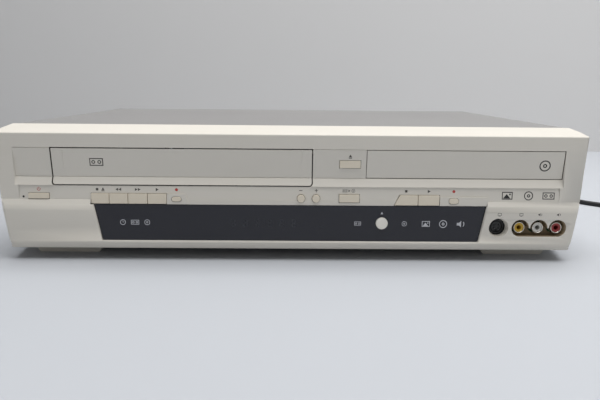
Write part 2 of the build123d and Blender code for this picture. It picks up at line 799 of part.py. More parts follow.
with BuildPart() as power_transformer:
    half = transformer_side / 2
    setback = transformer_y - front
    block(transformer_x - half, transformer_x + half, setback - half * 0.85, setback + half * 0.85,
          main_top, main_top + transformer_side * 0.8)
    fillet(power_transformer.edges().filter_by(Axis.Z), 2.0)
    block(transformer_x - half - 4, transformer_x + half + 4, setback - 6, setback + 6,
          main_top + 9, main_top + 27)
power_transformer.part.label = "power_transformer"
export_step(power_transformer.part, "parts/power_transformer.step")

inner_rear = rear_setback - rear_sheet
with BuildPart() as tuner_box:
    block(tuner_left, tuner_right, inner_rear - tuner_length, inner_rear, main_top, tuner_high)
    for radius, stand_out in ((aerial_collar, 0), (aerial_radius, socket_stand_out)):
        with BuildSketch(facing(inner_rear - 1)):
            with Locations(*aerial_spots):
                Circle(radius)
        extrude(amount=-(1 + rear_sheet + stand_out))
    with BuildSketch(facing(inner_rear + 1)):
        with Locations(*aerial_spots):
            Circle(1.0)
    extrude(amount=-(rear_sheet + socket_stand_out), mode=Mode.SUBTRACT)
tuner_box.part.label = "tuner_box"
export_step(tuner_box.part, "parts/tuner_box.step")

with BuildPart() as rear_sockets:
    block(sockets_left, sockets_right, inner_rear - 12, inner_rear, main_top, sockets_high)
    for radius, stand_out in ((jack_collar, 0), (jack_barrel, socket_stand_out)):
        with BuildSketch(facing(inner_rear - 1)):
            with Locations((sockets_middle, sockets_height)):
                with GridLocations(socket_pitch, socket_pitch, socket_columns, socket_rows):
                    Circle(radius)
        extrude(amount=-(1 + rear_sheet + stand_out))
    with BuildSketch(facing(inner_rear)):
        with Locations((sockets_middle, sockets_height)):
            with GridLocations(socket_pitch, socket_pitch, socket_columns, socket_rows):
                Circle(jack_bore)
    extrude(amount=-(1 + rear_sheet + socket_stand_out), mode=Mode.SUBTRACT)
rear_sockets.part.label = "rear_sockets"
export_step(rear_sockets.part, "parts/rear_sockets.step")

fan_front = inner_rear - fan_depth
with BuildPart() as fan_frame:
    block(fan_x - fan_side / 2, fan_x + fan_side / 2, fan_front, inner_rear,
          fan_height - fan_side / 2, fan_height + fan_side / 2)
    fillet(fan_frame.edges().filter_by(Axis.Y), 3.0)
    with BuildSketch(facing(fan_front)):
        with Locations((fan_x, fan_height)):
            Circle(fan_bore)
    extrude(amount=-fan_depth, mode=Mode.SUBTRACT)
    # Four struts at the back carry the motor's seat and shaft.
    with BuildSketch(facing(inner_rear)):
        with Locations((fan_x, fan_height)):
            Circle(fan_hub)
            Rectangle(2 * fan_bore + 2, 2.4)
            Rectangle(2.4, 2 * fan_bore + 2)
    extrude(amount=2.5)
    with BuildSketch(facing(inner_rear - 2)):
        with Locations((fan_x, fan_height)):
            Circle(fan_shaft)
    extrude(amount=10)
fan_frame.part.label = "fan_frame"
export_step(fan_frame.part, "parts/fan_frame.step")

with BuildPart() as fan_rotor:
    rotor_back = inner_rear - 3.2
    with BuildSketch(facing(rotor_back)):
        with Locations((fan_x, fan_height)):
            Circle(fan_hub)
    extrude(amount=10.5)
    blade_reach = (fan_hub - 1 + fan_bore - 1) / 2
    blade_span = fan_bore - fan_hub
    for blade in range(blade_count):
        turn = 2 * pi / blade_count * blade
        out = Vector(cos(turn), 0, sin(turn))
        blade_middle = Vector(fan_x, front + rotor_back - 5.2, fan_height) + out * blade_reach
        with Locations(Plane(blade_middle, x_dir=out, z_dir=(0, -1, 0)) * Location((0, 0, 0), (38, 0, 0))):
            Box(blade_span, 9.0, 1.0)
    with BuildSketch(facing(rotor_back)):
        with Locations((fan_x, fan_height)):
            Circle(fan_shaft + running_gap)
    extrude(amount=9.0, mode=Mode.SUBTRACT)
fan_rotor.part.label = "fan_rotor"
export_step(fan_rotor.part, "parts/fan_rotor.step")

# ==== tape deck ======================================================================================
reel_spots = {"supply_reel": deck_x - reel_spacing / 2, "take_up_reel": deck_x + reel_spacing / 2}
holder_left = deck_x - holder_half
holder_right = deck_x + holder_half
loader_left = holder_left - slide_gap - loader_sheet
loader_right = holder_right + slide_gap + loader_sheet
plate_top = deck_height + chassis_sheet
# The roller meets the capstan with the arm at full swing.
engaged_x = capstan_x + capstan_shaft + pulley_gap + roller_radius
pivot_x = capstan_x + arm_offset
reach_across = pivot_x - engaged_x
pivot_setback = capstan_setback + sqrt(arm_reach ** 2 - reach_across ** 2)
rest_angle = radians(arm_swing) - asin(reach_across / arm_reach)
guide_height = 70.0
guide_setbacks = (holder_front + 12, holder_front + 44)

with BuildPart() as deck_chassis:
    block(deck_left, deck_right, deck_front, deck_back, deck_height, plate_top)
    for x in (deck_left + 6, deck_right - 6):
        for setback in (deck_front + 8, deck_back - 8):
            post(x, setback, floor_high, deck_height, deck_post)
    # Side rails with a slot for the loader's guide pins.
    for left in (loader_left - slide_gap - rail_sheet, loader_right + slide_gap):
        block(left, left + rail_sheet, deck_front + 4, holder_front + holder_length + load_in + 14,
              plate_top - 0.5, holder_high + 4)
    with BuildSketch(across(deck_left - 10)):
        first, last = side_view((guide_setbacks[0], guide_height),
                                (guide_setbacks[1] + load_in, guide_height))
        with Locations(((first[0] + last[0]) / 2, guide_height)):
            reach = last[0] - first[0] + 2 * (guide_pin + slide_gap)
            SlotOverall(reach, 2 * (guide_pin + running_gap))
    extrude(amount=deck_right - deck_left + 20, mode=Mode.SUBTRACT)
    # Pivot post of the pinch arm; reel stubs.
    post(pivot_x, pivot_setback, plate_top, arm_low + arm_thickness + 2, arm_pin)
    post(pivot_x, pivot_setback, plate_top, arm_low - 0.3, arm_pin + 2.5)
    for x in reel_spots.values():
        post(x, reel_setback, plate_top, plate_top + 9, reel_shaft)
    # Bores for the capstan and clutch shafts.
    post(capstan_x, capstan_setback, plate_top, plate_top + 3, capstan_shaft + 3)
    post(capstan_x, capstan_setback, deck_height - 1, plate_top + 10, capstan_shaft + running_gap,
         mode=Mode.SUBTRACT)
    post(deck_x, clutch_setback, deck_height - 1, plate_top + 1, clutch_shaft + running_gap,
         mode=Mode.SUBTRACT)
deck_chassis.part.label = "deck_chassis"
export_step(deck_chassis.part, "parts/deck_chassis.step")

drum_axis = (0, sin(radians(drum_tilt)), cos(radians(drum_tilt)))
drum_plane = Plane((deck_x, front + drum_setback, drum_seat), z_dir=drum_axis)
with BuildPart() as lower_drum:
    with BuildSketch(drum_plane):
        Circle(drum_radius)
    extrude(amount=lower_drum_height)
    block(deck_x - 18, deck_x + 18, drum_setback - 18, drum_setback + 18, plate_top, drum_seat + 4)
    with BuildSketch(drum_plane.offset(lower_drum_height)):
        Circle(drum_shaft + running_gap)
    extrude(amount=-(lower_drum_height - 2), mode=Mode.SUBTRACT)
lower_drum.part.label = "lower_drum"
export_step(lower_drum.part, "parts/lower_drum.step")

with BuildPart() as head_drum:
    with BuildSketch(drum_plane.offset(lower_drum_height + slide_gap)):
        Circle(drum_radius)
    extrude(amount=upper_drum_height)
    fillet(head_drum.edges().filter_by(GeomType.CIRCLE).sort_by(Axis.Z)[-1:], 1.0)
    with BuildSketch(drum_plane.offset(lower_drum_height + slide_gap)):
        Circle(drum_shaft)
    extrude(amount=-(lower_drum_height - 3))
    # Notches of the four heads at the lower rim.
    with BuildSketch(drum_plane.offset(lower_drum_height + slide_gap)):
        with PolarLocations(drum_radius, 4):
            Rectangle(3.0, 5.0)
    extrude(amount=2.0, mode=Mode.SUBTRACT)
head_drum.part.label = "head_drum"
export_step(head_drum.part, "parts/head_drum.step")

with BuildPart() as capstan:
    post(capstan_x, capstan_setback, belt_low - 7, belt_low - 1, flywheel_radius)
    post(capstan_x, capstan_setback, belt_low - 1, belt_low + belt_height + 1, capstan_pulley)
    post(capstan_x, capstan_setback, belt_low - 1, capstan_top, capstan_shaft)
capstan.part.label = "capstan"
export_step(capstan.part, "parts/capstan.step")

with BuildPart() as clutch_pulley:
    post(deck_x, clutch_setback, belt_low - 1, belt_low + belt_height + 1, clutch_radius)
    post(deck_x, clutch_setback, belt_low - 1, plate_top + 4, clutch_shaft)
    post(deck_x, clutch_setback, plate_top + 0.5, plate_top + 4, 8.0)
clutch_pulley.part.label = "clutch_pulley"
export_step(clutch_pulley.part, "parts/clutch_pulley.step")

with BuildPart() as drive_belt:
    for grow, mode in ((pulley_gap + belt_thickness, Mode.ADD), (pulley_gap, Mode.SUBTRACT)):
        with BuildSketch(level(belt_low)):
            with Locations((capstan_x, front + capstan_setback)):
                Circle(capstan_pulley + grow)
            with Locations((deck_x, front + clutch_setback)):
                Circle(clutch_radius + grow)
            make_hull()
        extrude(amount=belt_height, mode=mode)
drive_belt.part.label = "drive_belt"
export_step(drive_belt.part, "parts/drive_belt.step")

for name, x in reel_spots.items():
    with BuildPart() as reel:
        post(x, reel_setback, plate_top + 0.5, plate_top + 4, reel_radius)
        post(x, reel_setback, plate_top + 4, reel_top, reel_hub)
        with Locations((x, front + reel_setback, (plate_top + 4 + reel_top - 3) / 2)):
            with PolarLocations(reel_hub, 3):
                Box(4.0, 2.0, reel_top - 3 - plate_top - 4)
        post(x, reel_setback, plate_top, plate_top + 9.5, reel_shaft + running_gap, mode=Mode.SUBTRACT)
    reel.part.label = name
    export_step(reel.part, f"parts/{name}.step")

roller_x = pivot_x + arm_reach * sin(rest_angle)
roller_setback = pivot_setback - arm_reach * cos(rest_angle)
with BuildPart() as pinch_arm:
    with BuildSketch(level(arm_low)):
        with Locations((pivot_x, front + pivot_setback), (roller_x, front + roller_setback)):
            Circle(5.0)
        make_hull()
    extrude(amount=arm_thickness)
    post(roller_x, roller_setback, arm_low, roller_low + roller_height + 2, roller_pin)
    post(pivot_x, pivot_setback, arm_low - 1, arm_low + arm_thickness + 1, arm_pin + running_gap,
         mode=Mode.SUBTRACT)
pinch_arm.part.label = "pinch_arm"
export_step(pinch_arm.part, "parts/pinch_arm.step")

with BuildPart() as pinch_roller:
    post(roller_x, roller_setback, roller_low, roller_low + roller_height, roller_radius)
    post(roller_x, roller_setback, roller_low - 1, roller_low + roller_height + 1, roller_pin + running_gap,
         mode=Mode.SUBTRACT)
pinch_roller.part.label = "pinch_roller"
export_step(pinch_roller.part, "parts/pinch_roller.step")

with BuildPart() as loader_slide:
    far = holder_front + holder_length
    for left in (loader_left, loader_right - loader_sheet):
        block(left, left + loader_sheet, holder_front, far, loader_low, loader_high)
    block(loader_left, loader_right, holder_front + 8, far - 8, loader_high - loader_roof, loader_high)
    for sign, edge in ((-1, loader_left), (1, loader_right)):
        for setback in guide_setbacks:
            pin_plane = Plane((edge, front + setback, guide_height), x_dir=(0, 1, 0), z_dir=(sign, 0, 0))
            with BuildSketch(pin_plane):
                Circle(guide_pin)
            extrude(amount=slide_gap + rail_sheet + 0.8)
loader_slide.part.label = "loader_slide"
export_step(loader_slide.part, "parts/loader_slide.step")

with BuildPart() as cassette_holder:
    far = holder_front + holder_length
    block(holder_left, holder_right, holder_front, far, holder_high - holder_sheet, holder_high)
    for left in (holder_left, holder_right - holder_sheet):
        block(left, left + holder_sheet, holder_front, far, holder_low, holder_high)
    for left in (holder_left, holder_right - holder_ledge):
        block(left, left + holder_ledge, holder_front, far, holder_low, holder_low + holder_sheet)
    # Window in the top plate and springs cut into it.
    with BuildSketch(level(holder_high - 2)):
        with Locations((deck_x, front + holder_front + holder_length / 2)):
            Rectangle(60, 30)
            with GridLocations(130, 0, 2, 1):
                Rectangle(16, 24)
    extrude(amount=4, mode=Mode.SUBTRACT)
cassette_holder.part.label = "cassette_holder"
export_step(cassette_holder.part, "parts/cassette_holder.step")

with BuildPart() as cassette_flap:
    with BuildSketch(across(flap_left)):
        top_setback, low_setback = band_setback(flap_top), band_setback(flap_low)
        crease_setback = face_setback + band_lean
        Polygon(*side_view((top_setback, flap_top), (crease_setback, crease_height), (low_setback, flap_low),
                           (low_setback + flap_thickness, flap_low),
                           (crease_setback + flap_thickness, crease_height),
                           (top_setback + flap_thickness, flap_top)), align=None)
    extrude(amount=flap_right - flap_left)
    fillet(cassette_flap.edges().filter_by(Axis.Y).group_by(Axis.Z)[0], flap_corner)
    block(flap_left - 1, flap_right + 1, -1, crease_setback + crease_line,
          crease_height - crease_line / 2, crease_height + crease_line / 2, mode=Mode.SUBTRACT)
    # Two barrels near the ends carry the pins.
    barrel = 14.0
    for left in (flap_left, flap_right - barrel):
        with BuildSketch(across(left)):
            with Locations(side_view((flap_axis_setback, flap_axis_height))[0]):
                Circle(flap_pin + 1.0)
            near = band_setback(flap_axis_height)
            Polygon(*side_view((near + 1, flap_axis_height - 2), (flap_axis_setback, flap_axis_height - 2),
                               (flap_axis_setback, flap_axis_height + 1),
                               (near + 1, flap_axis_height + 1)), align=None)
        extrude(amount=barrel)
    for left, reach in ((flap_left, -1), (flap_right, 1)):
        with BuildSketch(across(left)):
            with Locations(side_view((flap_axis_setback, flap_axis_height))[0]):
                Circle(flap_pin)
        extrude(amount=reach * (flap_gap + flap_ear))
cassette_flap.part.label = "cassette_flap"
export_step(cassette_flap.part, "parts/cassette_flap.step")

# ==== disc drive =====================================================================================
drive_left = drive_x - drive_half
drive_right = drive_x + drive_half
rail_inner = disc_tray_half - 3.0
pinion_x = rack_x + module * pinion_teeth / 2
lug = 5.0
with BuildPart() as dvd_frame:
    block(drive_left, drive_right, drive_front, drive_back, drive_low, drive_low + drive_floor)
    for left in (drive_left, drive_right - drive_wall):
        block(left, left + drive_wall, drive_front, drive_back, drive_low, drive_high)
    block(drive_left, drive_right, drive_back - drive_wall, drive_back, drive_low, drive_high)
    # Ledges under the tray's edges.
    for left in (drive_left + drive_wall - 0.5, drive_x + rail_inner):
        block(left, left + drive_half - drive_wall + 0.5 - rail_inner, drive_front, drive_back,
              disc_tray_low - slide_gap - 1.6, disc_tray_low - slide_gap)
    # Opening for the traverse, lugs beside its hinge.
    block(drive_x - traverse_half - 2, drive_x + traverse_half + 2, traverse_front - 2, traverse_back + 4,
          drive_low - 1, drive_low + drive_floor + 1, mode=Mode.SUBTRACT)
    for left in (drive_x - traverse_half - 2 - lug, drive_x + traverse_half + 2):
        block(left, left + lug, traverse_back - 8, traverse_back + 2, drive_low - 1, drive_low + 7)
    with BuildSketch(across(drive_x - traverse_half - 10)):
        with Locations(side_view((traverse_back - 3, drive_low + 3.0))[0]):
            Circle(traverse_pin + running_gap)
    extrude(amount=2 * traverse_half + 20, mode=Mode.SUBTRACT)
    # Stub for the tray's pinion; legs to the base.
    post(pinion_x, pinion_setback, drive_low + 1, disc_tray_low - 1, 2.0)
    post(pinion_x, pinion_setback, drive_low + 1, disc_tray_low - rack_height - 1.0, 4.0)
    for x in (drive_left + 8, drive_right - 8):
        for setback in (drive_front + 8, drive_posts_back):
            post(x, setback, floor_high, drive_low, drive_post)
dvd_frame.part.label = "dvd_frame"
export_step(dvd_frame.part, "parts/dvd_frame.step")

tooth_count = int((disc_tray_length - 14) / (pi * module))
pinion_y = front + pinion_setback
with BuildPart() as disc_tray:
    block(drive_x - disc_tray_half, drive_x + disc_tray_half,
          disc_tray_front, disc_tray_front + disc_tray_length,
          disc_tray_low, disc_tray_low + disc_tray_height)
    fillet(disc_tray.edges().filter_by(Axis.Z).group_by(Axis.Y)[-1], 6.0)
    top_z = disc_tray_low + disc_tray_height
    for radius, depth in ((disc_radius, disc_well), (small_disc_radius, disc_well + small_disc_well)):
        post(drive_x, well_middle, top_z - depth, top_z + 1, radius, mode=Mode.SUBTRACT)
    post(drive_x, disc_setback, disc_tray_low - 1, top_z, spindle_window, mode=Mode.SUBTRACT)
    block(drive_x - spindle_window, drive_x + spindle_window, disc_setback,
          disc_tray_front + disc_tray_length - 8, disc_tray_low - 1, top_z + 1, mode=Mode.SUBTRACT)
    block(drive_x - spindle_window, drive_x + spindle_window, disc_tray_front + disc_tray_length - 9,
          disc_tray_front + disc_tray_length + 1, disc_tray_low - 1, disc_tray_low + 3, mode=Mode.SUBTRACT)
    # Rack under the left side; a gap faces the pinion's tooth at rest.
    rack_low = disc_tray_low - rack_height
    block(rack_x - rack_back - 1.25 * module, rack_x - 1.25 * module, disc_tray_front + 7,
          disc_tray_front + disc_tray_length - 4, rack_low, disc_tray_low + 1)
    pitch = pi * module
    with BuildSketch(level(rack_low)):
        first = -4
        for tooth in range(first, first + tooth_count):
            y = pinion_y + (tooth + 0.5) * pitch
            half_root = pitch / 4 - backlash / 4 + 1.25 * module * tan(radians(20))
            half_tip = pitch / 4 - backlash / 4 - 0.8 * module * tan(radians(20))
            Polygon((rack_x - 1.26 * module, y - half_root), (rack_x + 0.8 * module, y - half_tip),
                    (rack_x + 0.8 * module, y + half_tip), (rack_x - 1.26 * module, y + half_root),
                    align=None)
    extrude(amount=rack_height + 0.5)
disc_tray.part.label = "disc_tray"
export_step(disc_tray.part, "parts/disc_tray.step")

with BuildPart() as tray_front:
    with BuildSketch(across(tray_left)):
        Polygon(*side_view((band_setback(tray_top), tray_top), (band_setback(tray_low), tray_low),
                           (disc_tray_front, tray_low), (disc_tray_front, tray_top)), align=None)
    extrude(amount=tray_right - tray_left)
    # Hollow back, but for a rim and the seat of the tray.
    hollow_low = tray_low + 11.0
    block(tray_left + 2, tray_right - 2, band_setback(hollow_low) + 2.0, disc_tray_front + 1,
          hollow_low, tray_top - 2.0, mode=Mode.SUBTRACT)
tray_front.part.label = "tray_front"
export_step(tray_front.part, "parts/tray_front.step")


def involute_flank(base, outer, thickness_angle, steps=5):
    """Points of one flank from the base circle to the tip, as polar pairs."""
    points = []
    for step in range(steps + 1):
        radius = base + (outer - base) * step / steps
        roll = sqrt(max((radius / base) ** 2 - 1, 0))
        points.append((radius, thickness_angle - (roll - atan2(roll, 1))))
    return points


with BuildPart() as tray_pinion:
    pitch_radius = module * pinion_teeth / 2
    base_radius = pitch_radius * cos(radians(20))
    tip_radius = pitch_radius + 0.8 * module
    root_radius = pitch_radius - 1.15 * module
    inv20 = tan(radians(20)) - radians(20)
    half_tooth = pi / 2 / pinion_teeth - backlash / 4 / pitch_radius + inv20
    with BuildSketch(level(disc_tray_low - rack_height)):
        with Locations((pinion_x, pinion_y)):
            Circle(root_radius)
            for tooth in range(pinion_teeth):
                turn = pi - 2 * pi * tooth / pinion_teeth
                flank = involute_flank(base_radius, tip_radius, half_tooth)
                upper = [(r * cos(turn + a), r * sin(turn + a)) for r, a in flank]
                lower = [(r * cos(turn - a), r * sin(turn - a)) for r, a in reversed(flank)]
                foot = root_radius - 0.3
                start = (foot * cos(turn + half_tooth), foot * sin(turn + half_tooth))
                end = (foot * cos(turn - half_tooth), foot * sin(turn - half_tooth))
                Polygon(start, *upper, *lower, end, align=None)
    extrude(amount=rack_height - 0.5)
    post(pinion_x, pinion_setback, disc_tray_low - rack_height - 1, disc_tray_low + 1, 2.0 + running_gap,
         mode=Mode.SUBTRACT)
tray_pinion.part.label = "tray_pinion"
export_step(tray_pinion.part, "parts/tray_pinion.step")

traverse_low = drive_low + 0.2
traverse_top = traverse_low + traverse_sheet
screw_x = drive_x + rod_spread + 8.0
rod_ends = (disc_setback + spindle_radius + 3, traverse_back - 10)
with BuildPart() as traverse_frame:
    block(drive_x - traverse_half, drive_x + traverse_half, traverse_front, traverse_back,
          traverse_low, traverse_top)
    # Window under the sled, pillars for rods and screw, hinge pins at the back.
    block(drive_x - 22, drive_x + 22, rod_ends[0] + 3, rod_ends[1] - 6, traverse_low - 1, traverse_top + 1,
          mode=Mode.SUBTRACT)
    for setback in rod_ends:
        for x in (drive_x - rod_spread, drive_x + rod_spread):
            block(x - 4, x + 4, setback - 2, setback + 2, traverse_top - 0.5, rod_height + 3)
        block(screw_x - 4, screw_x + 3, setback - 2, setback + 2, traverse_top - 0.5, rod_height + 3)
    with BuildSketch(facing(rod_ends[0] - 3)):
        with Locations((drive_x - rod_spread, rod_height), (drive_x + rod_spread, rod_height)):
            Circle(rod_radius)
        with Locations((screw_x, rod_height)):
            Circle(screw_radius + running_gap)
    extrude(amount=-(rod_ends[1] - rod_ends[0] + 6), mode=Mode.SUBTRACT)
    post(drive_x, disc_setback, traverse_low - 1, traverse_top + 1, 1.5 + running_gap, mode=Mode.SUBTRACT)
    hinge_height = drive_low + 3.0
    hinge_setback = traverse_back - 3
    for sign in (-1, 1):
        edge = drive_x + sign * (traverse_half - 4)
        with BuildSketch(across(edge)):
            with Locations(side_view((hinge_setback, hinge_height))[0]):
                Circle(traverse_pin)
        extrude(amount=sign * (4 + 2 + lug - 0.5))
        left, right = sorted((edge, edge + sign * 4))
        block(left, right, hinge_setback - 3, hinge_setback + 3,
              traverse_top - 0.5, hinge_height + traverse_pin)
traverse_frame.part.label = "traverse_frame"
export_step(traverse_frame.part, "parts/traverse_frame.step")

with BuildPart() as guide_rods:
    with BuildSketch(facing(rod_ends[0] - 2)):
        with Locations((drive_x - rod_spread, rod_height), (drive_x + rod_spread, rod_height)):
            Circle(rod_radius)
    extrude(amount=-(rod_ends[1] - rod_ends[0] + 4))
guide_rods.part.label = "guide_rods"
export_step(guide_rods.part, "parts/guide_rods.step")

with BuildPart() as spindle:
    post(drive_x, disc_setback, traverse_top + 0.3, spindle_top - 4, spindle_radius - 1)
    post(drive_x, disc_setback, spindle_top - 4, spindle_top - 2.5, spindle_radius)
    with BuildSketch(level(spindle_top - 2.5)):
        with Locations((drive_x, front + disc_setback)):
            Circle(7.4)
    extrude(amount=2.5, taper=20)
    post(drive_x, disc_setback, traverse_low - 0.5, traverse_top + 0.3, 1.5)
spindle.part.label = "spindle"
export_step(spindle.part, "parts/spindle.step")

with BuildPart() as laser_sled:
    near = sled_start - sled_length / 2
    block(drive_x - rod_spread + 1, drive_x + rod_spread - 1, near, near + sled_length,
          rod_height - 1.8, rod_height + 2)
    for x in (drive_x - rod_spread, drive_x + rod_spread):
        block(x - 3.4, x + 3.4, near, near + sled_length, rod_height - 2.6, rod_height + 2.9)
    block(drive_x - 8, drive_x + 8, near + 3, near + sled_length - 3, rod_height + 1, rod_height + 6)
    post(drive_x, sled_start, rod_height + 5, rod_height + 7, 3.4)
    with BuildSketch(facing(near - 1)):
        with Locations((drive_x - rod_spread, rod_height), (drive_x + rod_spread, rod_height)):
            Circle(rod_radius + running_gap)
    extrude(amount=-(sled_length + 2), mode=Mode.SUBTRACT)
laser_sled.part.label = "laser_sled"
export_step(laser_sled.part, "parts/laser_sled.step")

with BuildPart() as clamp_bridge:
    block(drive_left, drive_right, disc_setback - bridge_width / 2, disc_setback + bridge_width / 2,
          drive_high, drive_high + bridge_sheet)
    post(drive_x, disc_setback, puck_low, drive_high + bridge_sheet, puck_radius)
    post(drive_x, disc_setback, drive_high, drive_high + bridge_sheet + 1.5, puck_radius + 4)
clamp_bridge.part.label = "clamp_bridge"
export_step(clamp_bridge.part, "parts/clamp_bridge.step")

with BuildPart() as sled_screw:
    with BuildSketch(facing(rod_ends[0] - 3)):
        with Locations((screw_x, rod_height)):
            Circle(screw_radius)
    extrude(amount=-(rod_ends[1] - rod_ends[0] + 6))
    # Gear at the back end.
    with BuildSketch(facing(rod_ends[1] + 2.3)):
        with Locations((screw_x, rod_height)):
            Circle(3.6)
    extrude(amount=-1.4)
sled_screw.part.label = "sled_screw"
export_step(sled_screw.part, "parts/sled_screw.step")

# ==== power cord =====================================================================================
with BuildPart() as strain_relief:
    with BuildSketch(facing(rear_setback)):
        with Locations((exit_x, exit_height)):
            Circle(relief_root)
    extrude(amount=-relief_length, taper=degrees(atan2(relief_root - relief_tip, relief_length)))
    with BuildSketch(facing(rear_setback - rear_sheet - 2)):
        with Locations((exit_x, exit_height)):
            Circle(relief_root - sheet_gap)
    extrude(amount=-(rear_sheet + 2.5))
    for setback, thickness in ((rear_setback - rear_sheet - 2, 2.0), (rear_setback, 1.5)):
        with BuildSketch(facing(setback)):
            with Locations((exit_x, exit_height)):
                Circle(relief_root + 1.8)
        extrude(amount=-thickness)
strain_relief.part.label = "strain_relief"
export_step(strain_relief.part, "parts/strain_relief.step")

# The cord drops to the floor behind the case, comes round its right side and lies there.
lying = cord / 2
route = [
    (exit_x, rear_face + relief_length, exit_height),
    (exit_x, 204.0, exit_height),
    (191.0, 225.0, 26.5),
    (195.0, 244.0, 15.0),
    (203.0, 260.0, 5.5),
    (216.0, 276.0, lying),
    (238.0, 284.0, lying),
    (262.0, 277.0, lying),
    (281.0, 255.0, lying),
    (293.0, 223.0, lying),
    (301.0, 187.0, lying),
    (307.0, 149.0, lying),
    (314.0, 112.0, lying),
    (325.0, 77.5, lying),
    (345.5, 53.5, lying),
    (365.8, 30.1, lying),
]
route_radii = []
for before, corner, after in zip(route, route[1:], route[2:]):
    run_in = Vector(*corner) - Vector(*before)
    run_out = Vector(*after) - Vector(*corner)
    turn = radians(run_in.get_angle(run_out))
    route_radii.append(0.45 * min(run_in.length, run_out.length) / tan(turn / 2))
print("cord radii", [round(radius) for radius in route_radii])
with BuildPart() as cord_run:
    with BuildLine() as run_line:
        FilletPolyline(*route, radius=route_radii)
    run_wire = run_line.wires()[0]
    with BuildSketch(Plane(route[0], z_dir=(0, 1, 0))):
        Circle(cord / 2)
    sweep(path=run_wire)
cord_run.part.label = "cord_run"
export_step(cord_run.part, "parts/cord_run.step")
run_length = run_wire.length
run_share = cord_run.part.volume / (pi * lying ** 2 * run_length)
print("cord run", round(run_length, 1), "volume share", round(run_share, 4))

# Two-layer coil: half turns that spiral in, one that climbs, and half turns that spiral out.
coil_outer = 41.0            # radius of the outermost turn's middle line
turn_step = 5.5              # from turn to turn, sideways and upwards
turns_in = 7                 # half turns, lower layer
turns_out = 6                # half turns, upper layer
tail = 36.0
coil_start = Vector(*route[-1])
coil_ahead = (coil_start - Vector(*route[-2])).normalized()
coil_side = Vector(coil_ahead.Y, -coil_ahead.X, 0)
coil_middle = coil_start + coil_ahead * cord - coil_side * coil_outer


def coil_point(sideways, ahead, climb=0.0):
    """Point in the coil's own axes, from its middle on the floor layer."""
    return coil_middle + coil_side * sideways + coil_ahead * ahead + Vector(0, 0, climb)


def half_turn(near, far, side, climb):
    """Arc from one side of the coil to the other."""
    ThreePointArc(coil_point(side * near, 0, climb),
                  coil_point(side * (near - far) / 2, side * (near + far) / 2, climb),
                  coil_point(-side * far, 0, climb))


with BuildPart() as cord_coil:
    with BuildLine() as coil_line:
        Line(coil_start, coil_point(coil_outer, 0))
        reach, side = coil_outer, 1
        for _ in range(turns_in):
            half_turn(reach, reach - turn_step / 2, side, 0)
            reach, side = reach - turn_step / 2, -side
        # The climb: two quarter arcs in one tilted half turn.
        low_end = coil_point(side * reach, 0)
        reach = reach - turn_step / 2
        high_end = coil_point(-side * reach, 0, turn_step)
        span = high_end - low_end
        crown = (low_end + high_end) * 0.5 + coil_ahead * (side * span.length / 2)
        TangentArc(low_end, crown, tangent=coil_ahead * side)
        TangentArc(crown, high_end, tangent=span.normalized())
        side = -side
        # The first half turn on top moves out twice as far, to pass clear over the climb.
        for growth in [turn_step] + [turn_step / 2] * (turns_out - 1):
            half_turn(reach, reach + growth, side, turn_step)
            reach, side = reach + growth, -side
        Line(coil_point(side * reach, 0, turn_step), coil_point(side * reach, side * tail, turn_step))
    coil_wire = coil_line.wires()[0]
    with BuildSketch(Plane(coil_start, z_dir=coil_ahead)):
        Circle(cord / 2)
    sweep(path=coil_wire)
cord_coil.part.label = "cord_coil"
export_step(cord_coil.part, "parts/cord_coil.step")
coil_length = coil_wire.length
samples = [coil_wire @ (step / 600) for step in range(601)]
apart = round(600 * 12 * cord / coil_length)
least = min((samples[a] - samples[b]).length for a in range(601) for b in range(a + apart, 601))
coil_share = cord_coil.part.volume / (pi * lying ** 2 * coil_length)
print("coil", round(coil_length, 1), "volume share", round(coil_share, 4),
      "least gap to itself", round(least - cord, 2), "solids", len(cord_coil.part.solids()))
print("cord in all", round(run_length + coil_length + relief_length))

plug_start = coil_wire @ 1
plug_ahead = coil_wire % 1
plug_length = 30.0
plug_width = 24.0
plug_collar = 8.0
blade_spacing = 12.7
plug_plane = Plane(plug_start, x_dir=(-plug_ahead.Y, plug_ahead.X, 0), z_dir=plug_ahead)
with BuildPart() as plug:
    plug_rise = 2 * plug_start.Z
    with BuildSketch(plug_plane):
        Circle(lying + 1.2)
    with BuildSketch(plug_plane.offset(plug_collar)):
        Circle(lying + 3.0)
    loft()
    with BuildSketch(plug_plane.offset(plug_collar)):
        RectangleRounded(plug_width * 0.7, plug_rise * 0.8, 4.0)
    with BuildSketch(plug_plane.offset(plug_collar + plug_length * 0.4)):
        RectangleRounded(plug_width, plug_rise, 5.0)
    with BuildSketch(plug_plane.offset(plug_collar + plug_length)):
        RectangleRounded(plug_width, plug_rise, 5.0)
    loft(ruled=True)
    with BuildSketch(plug_plane.offset(plug_collar + plug_length - 1)):
        with GridLocations(blade_spacing, 0, 2, 1):
            Rectangle(1.5, 6.3)
    extrude(amount=17.0)
plug.part.label = "plug"
export_step(plug.part, "parts/plug.step")
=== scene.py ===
import json
import math

import bmesh
import bpy
from mathutils import Matrix, Vector
from mathutils.bvhtree import BVHTree

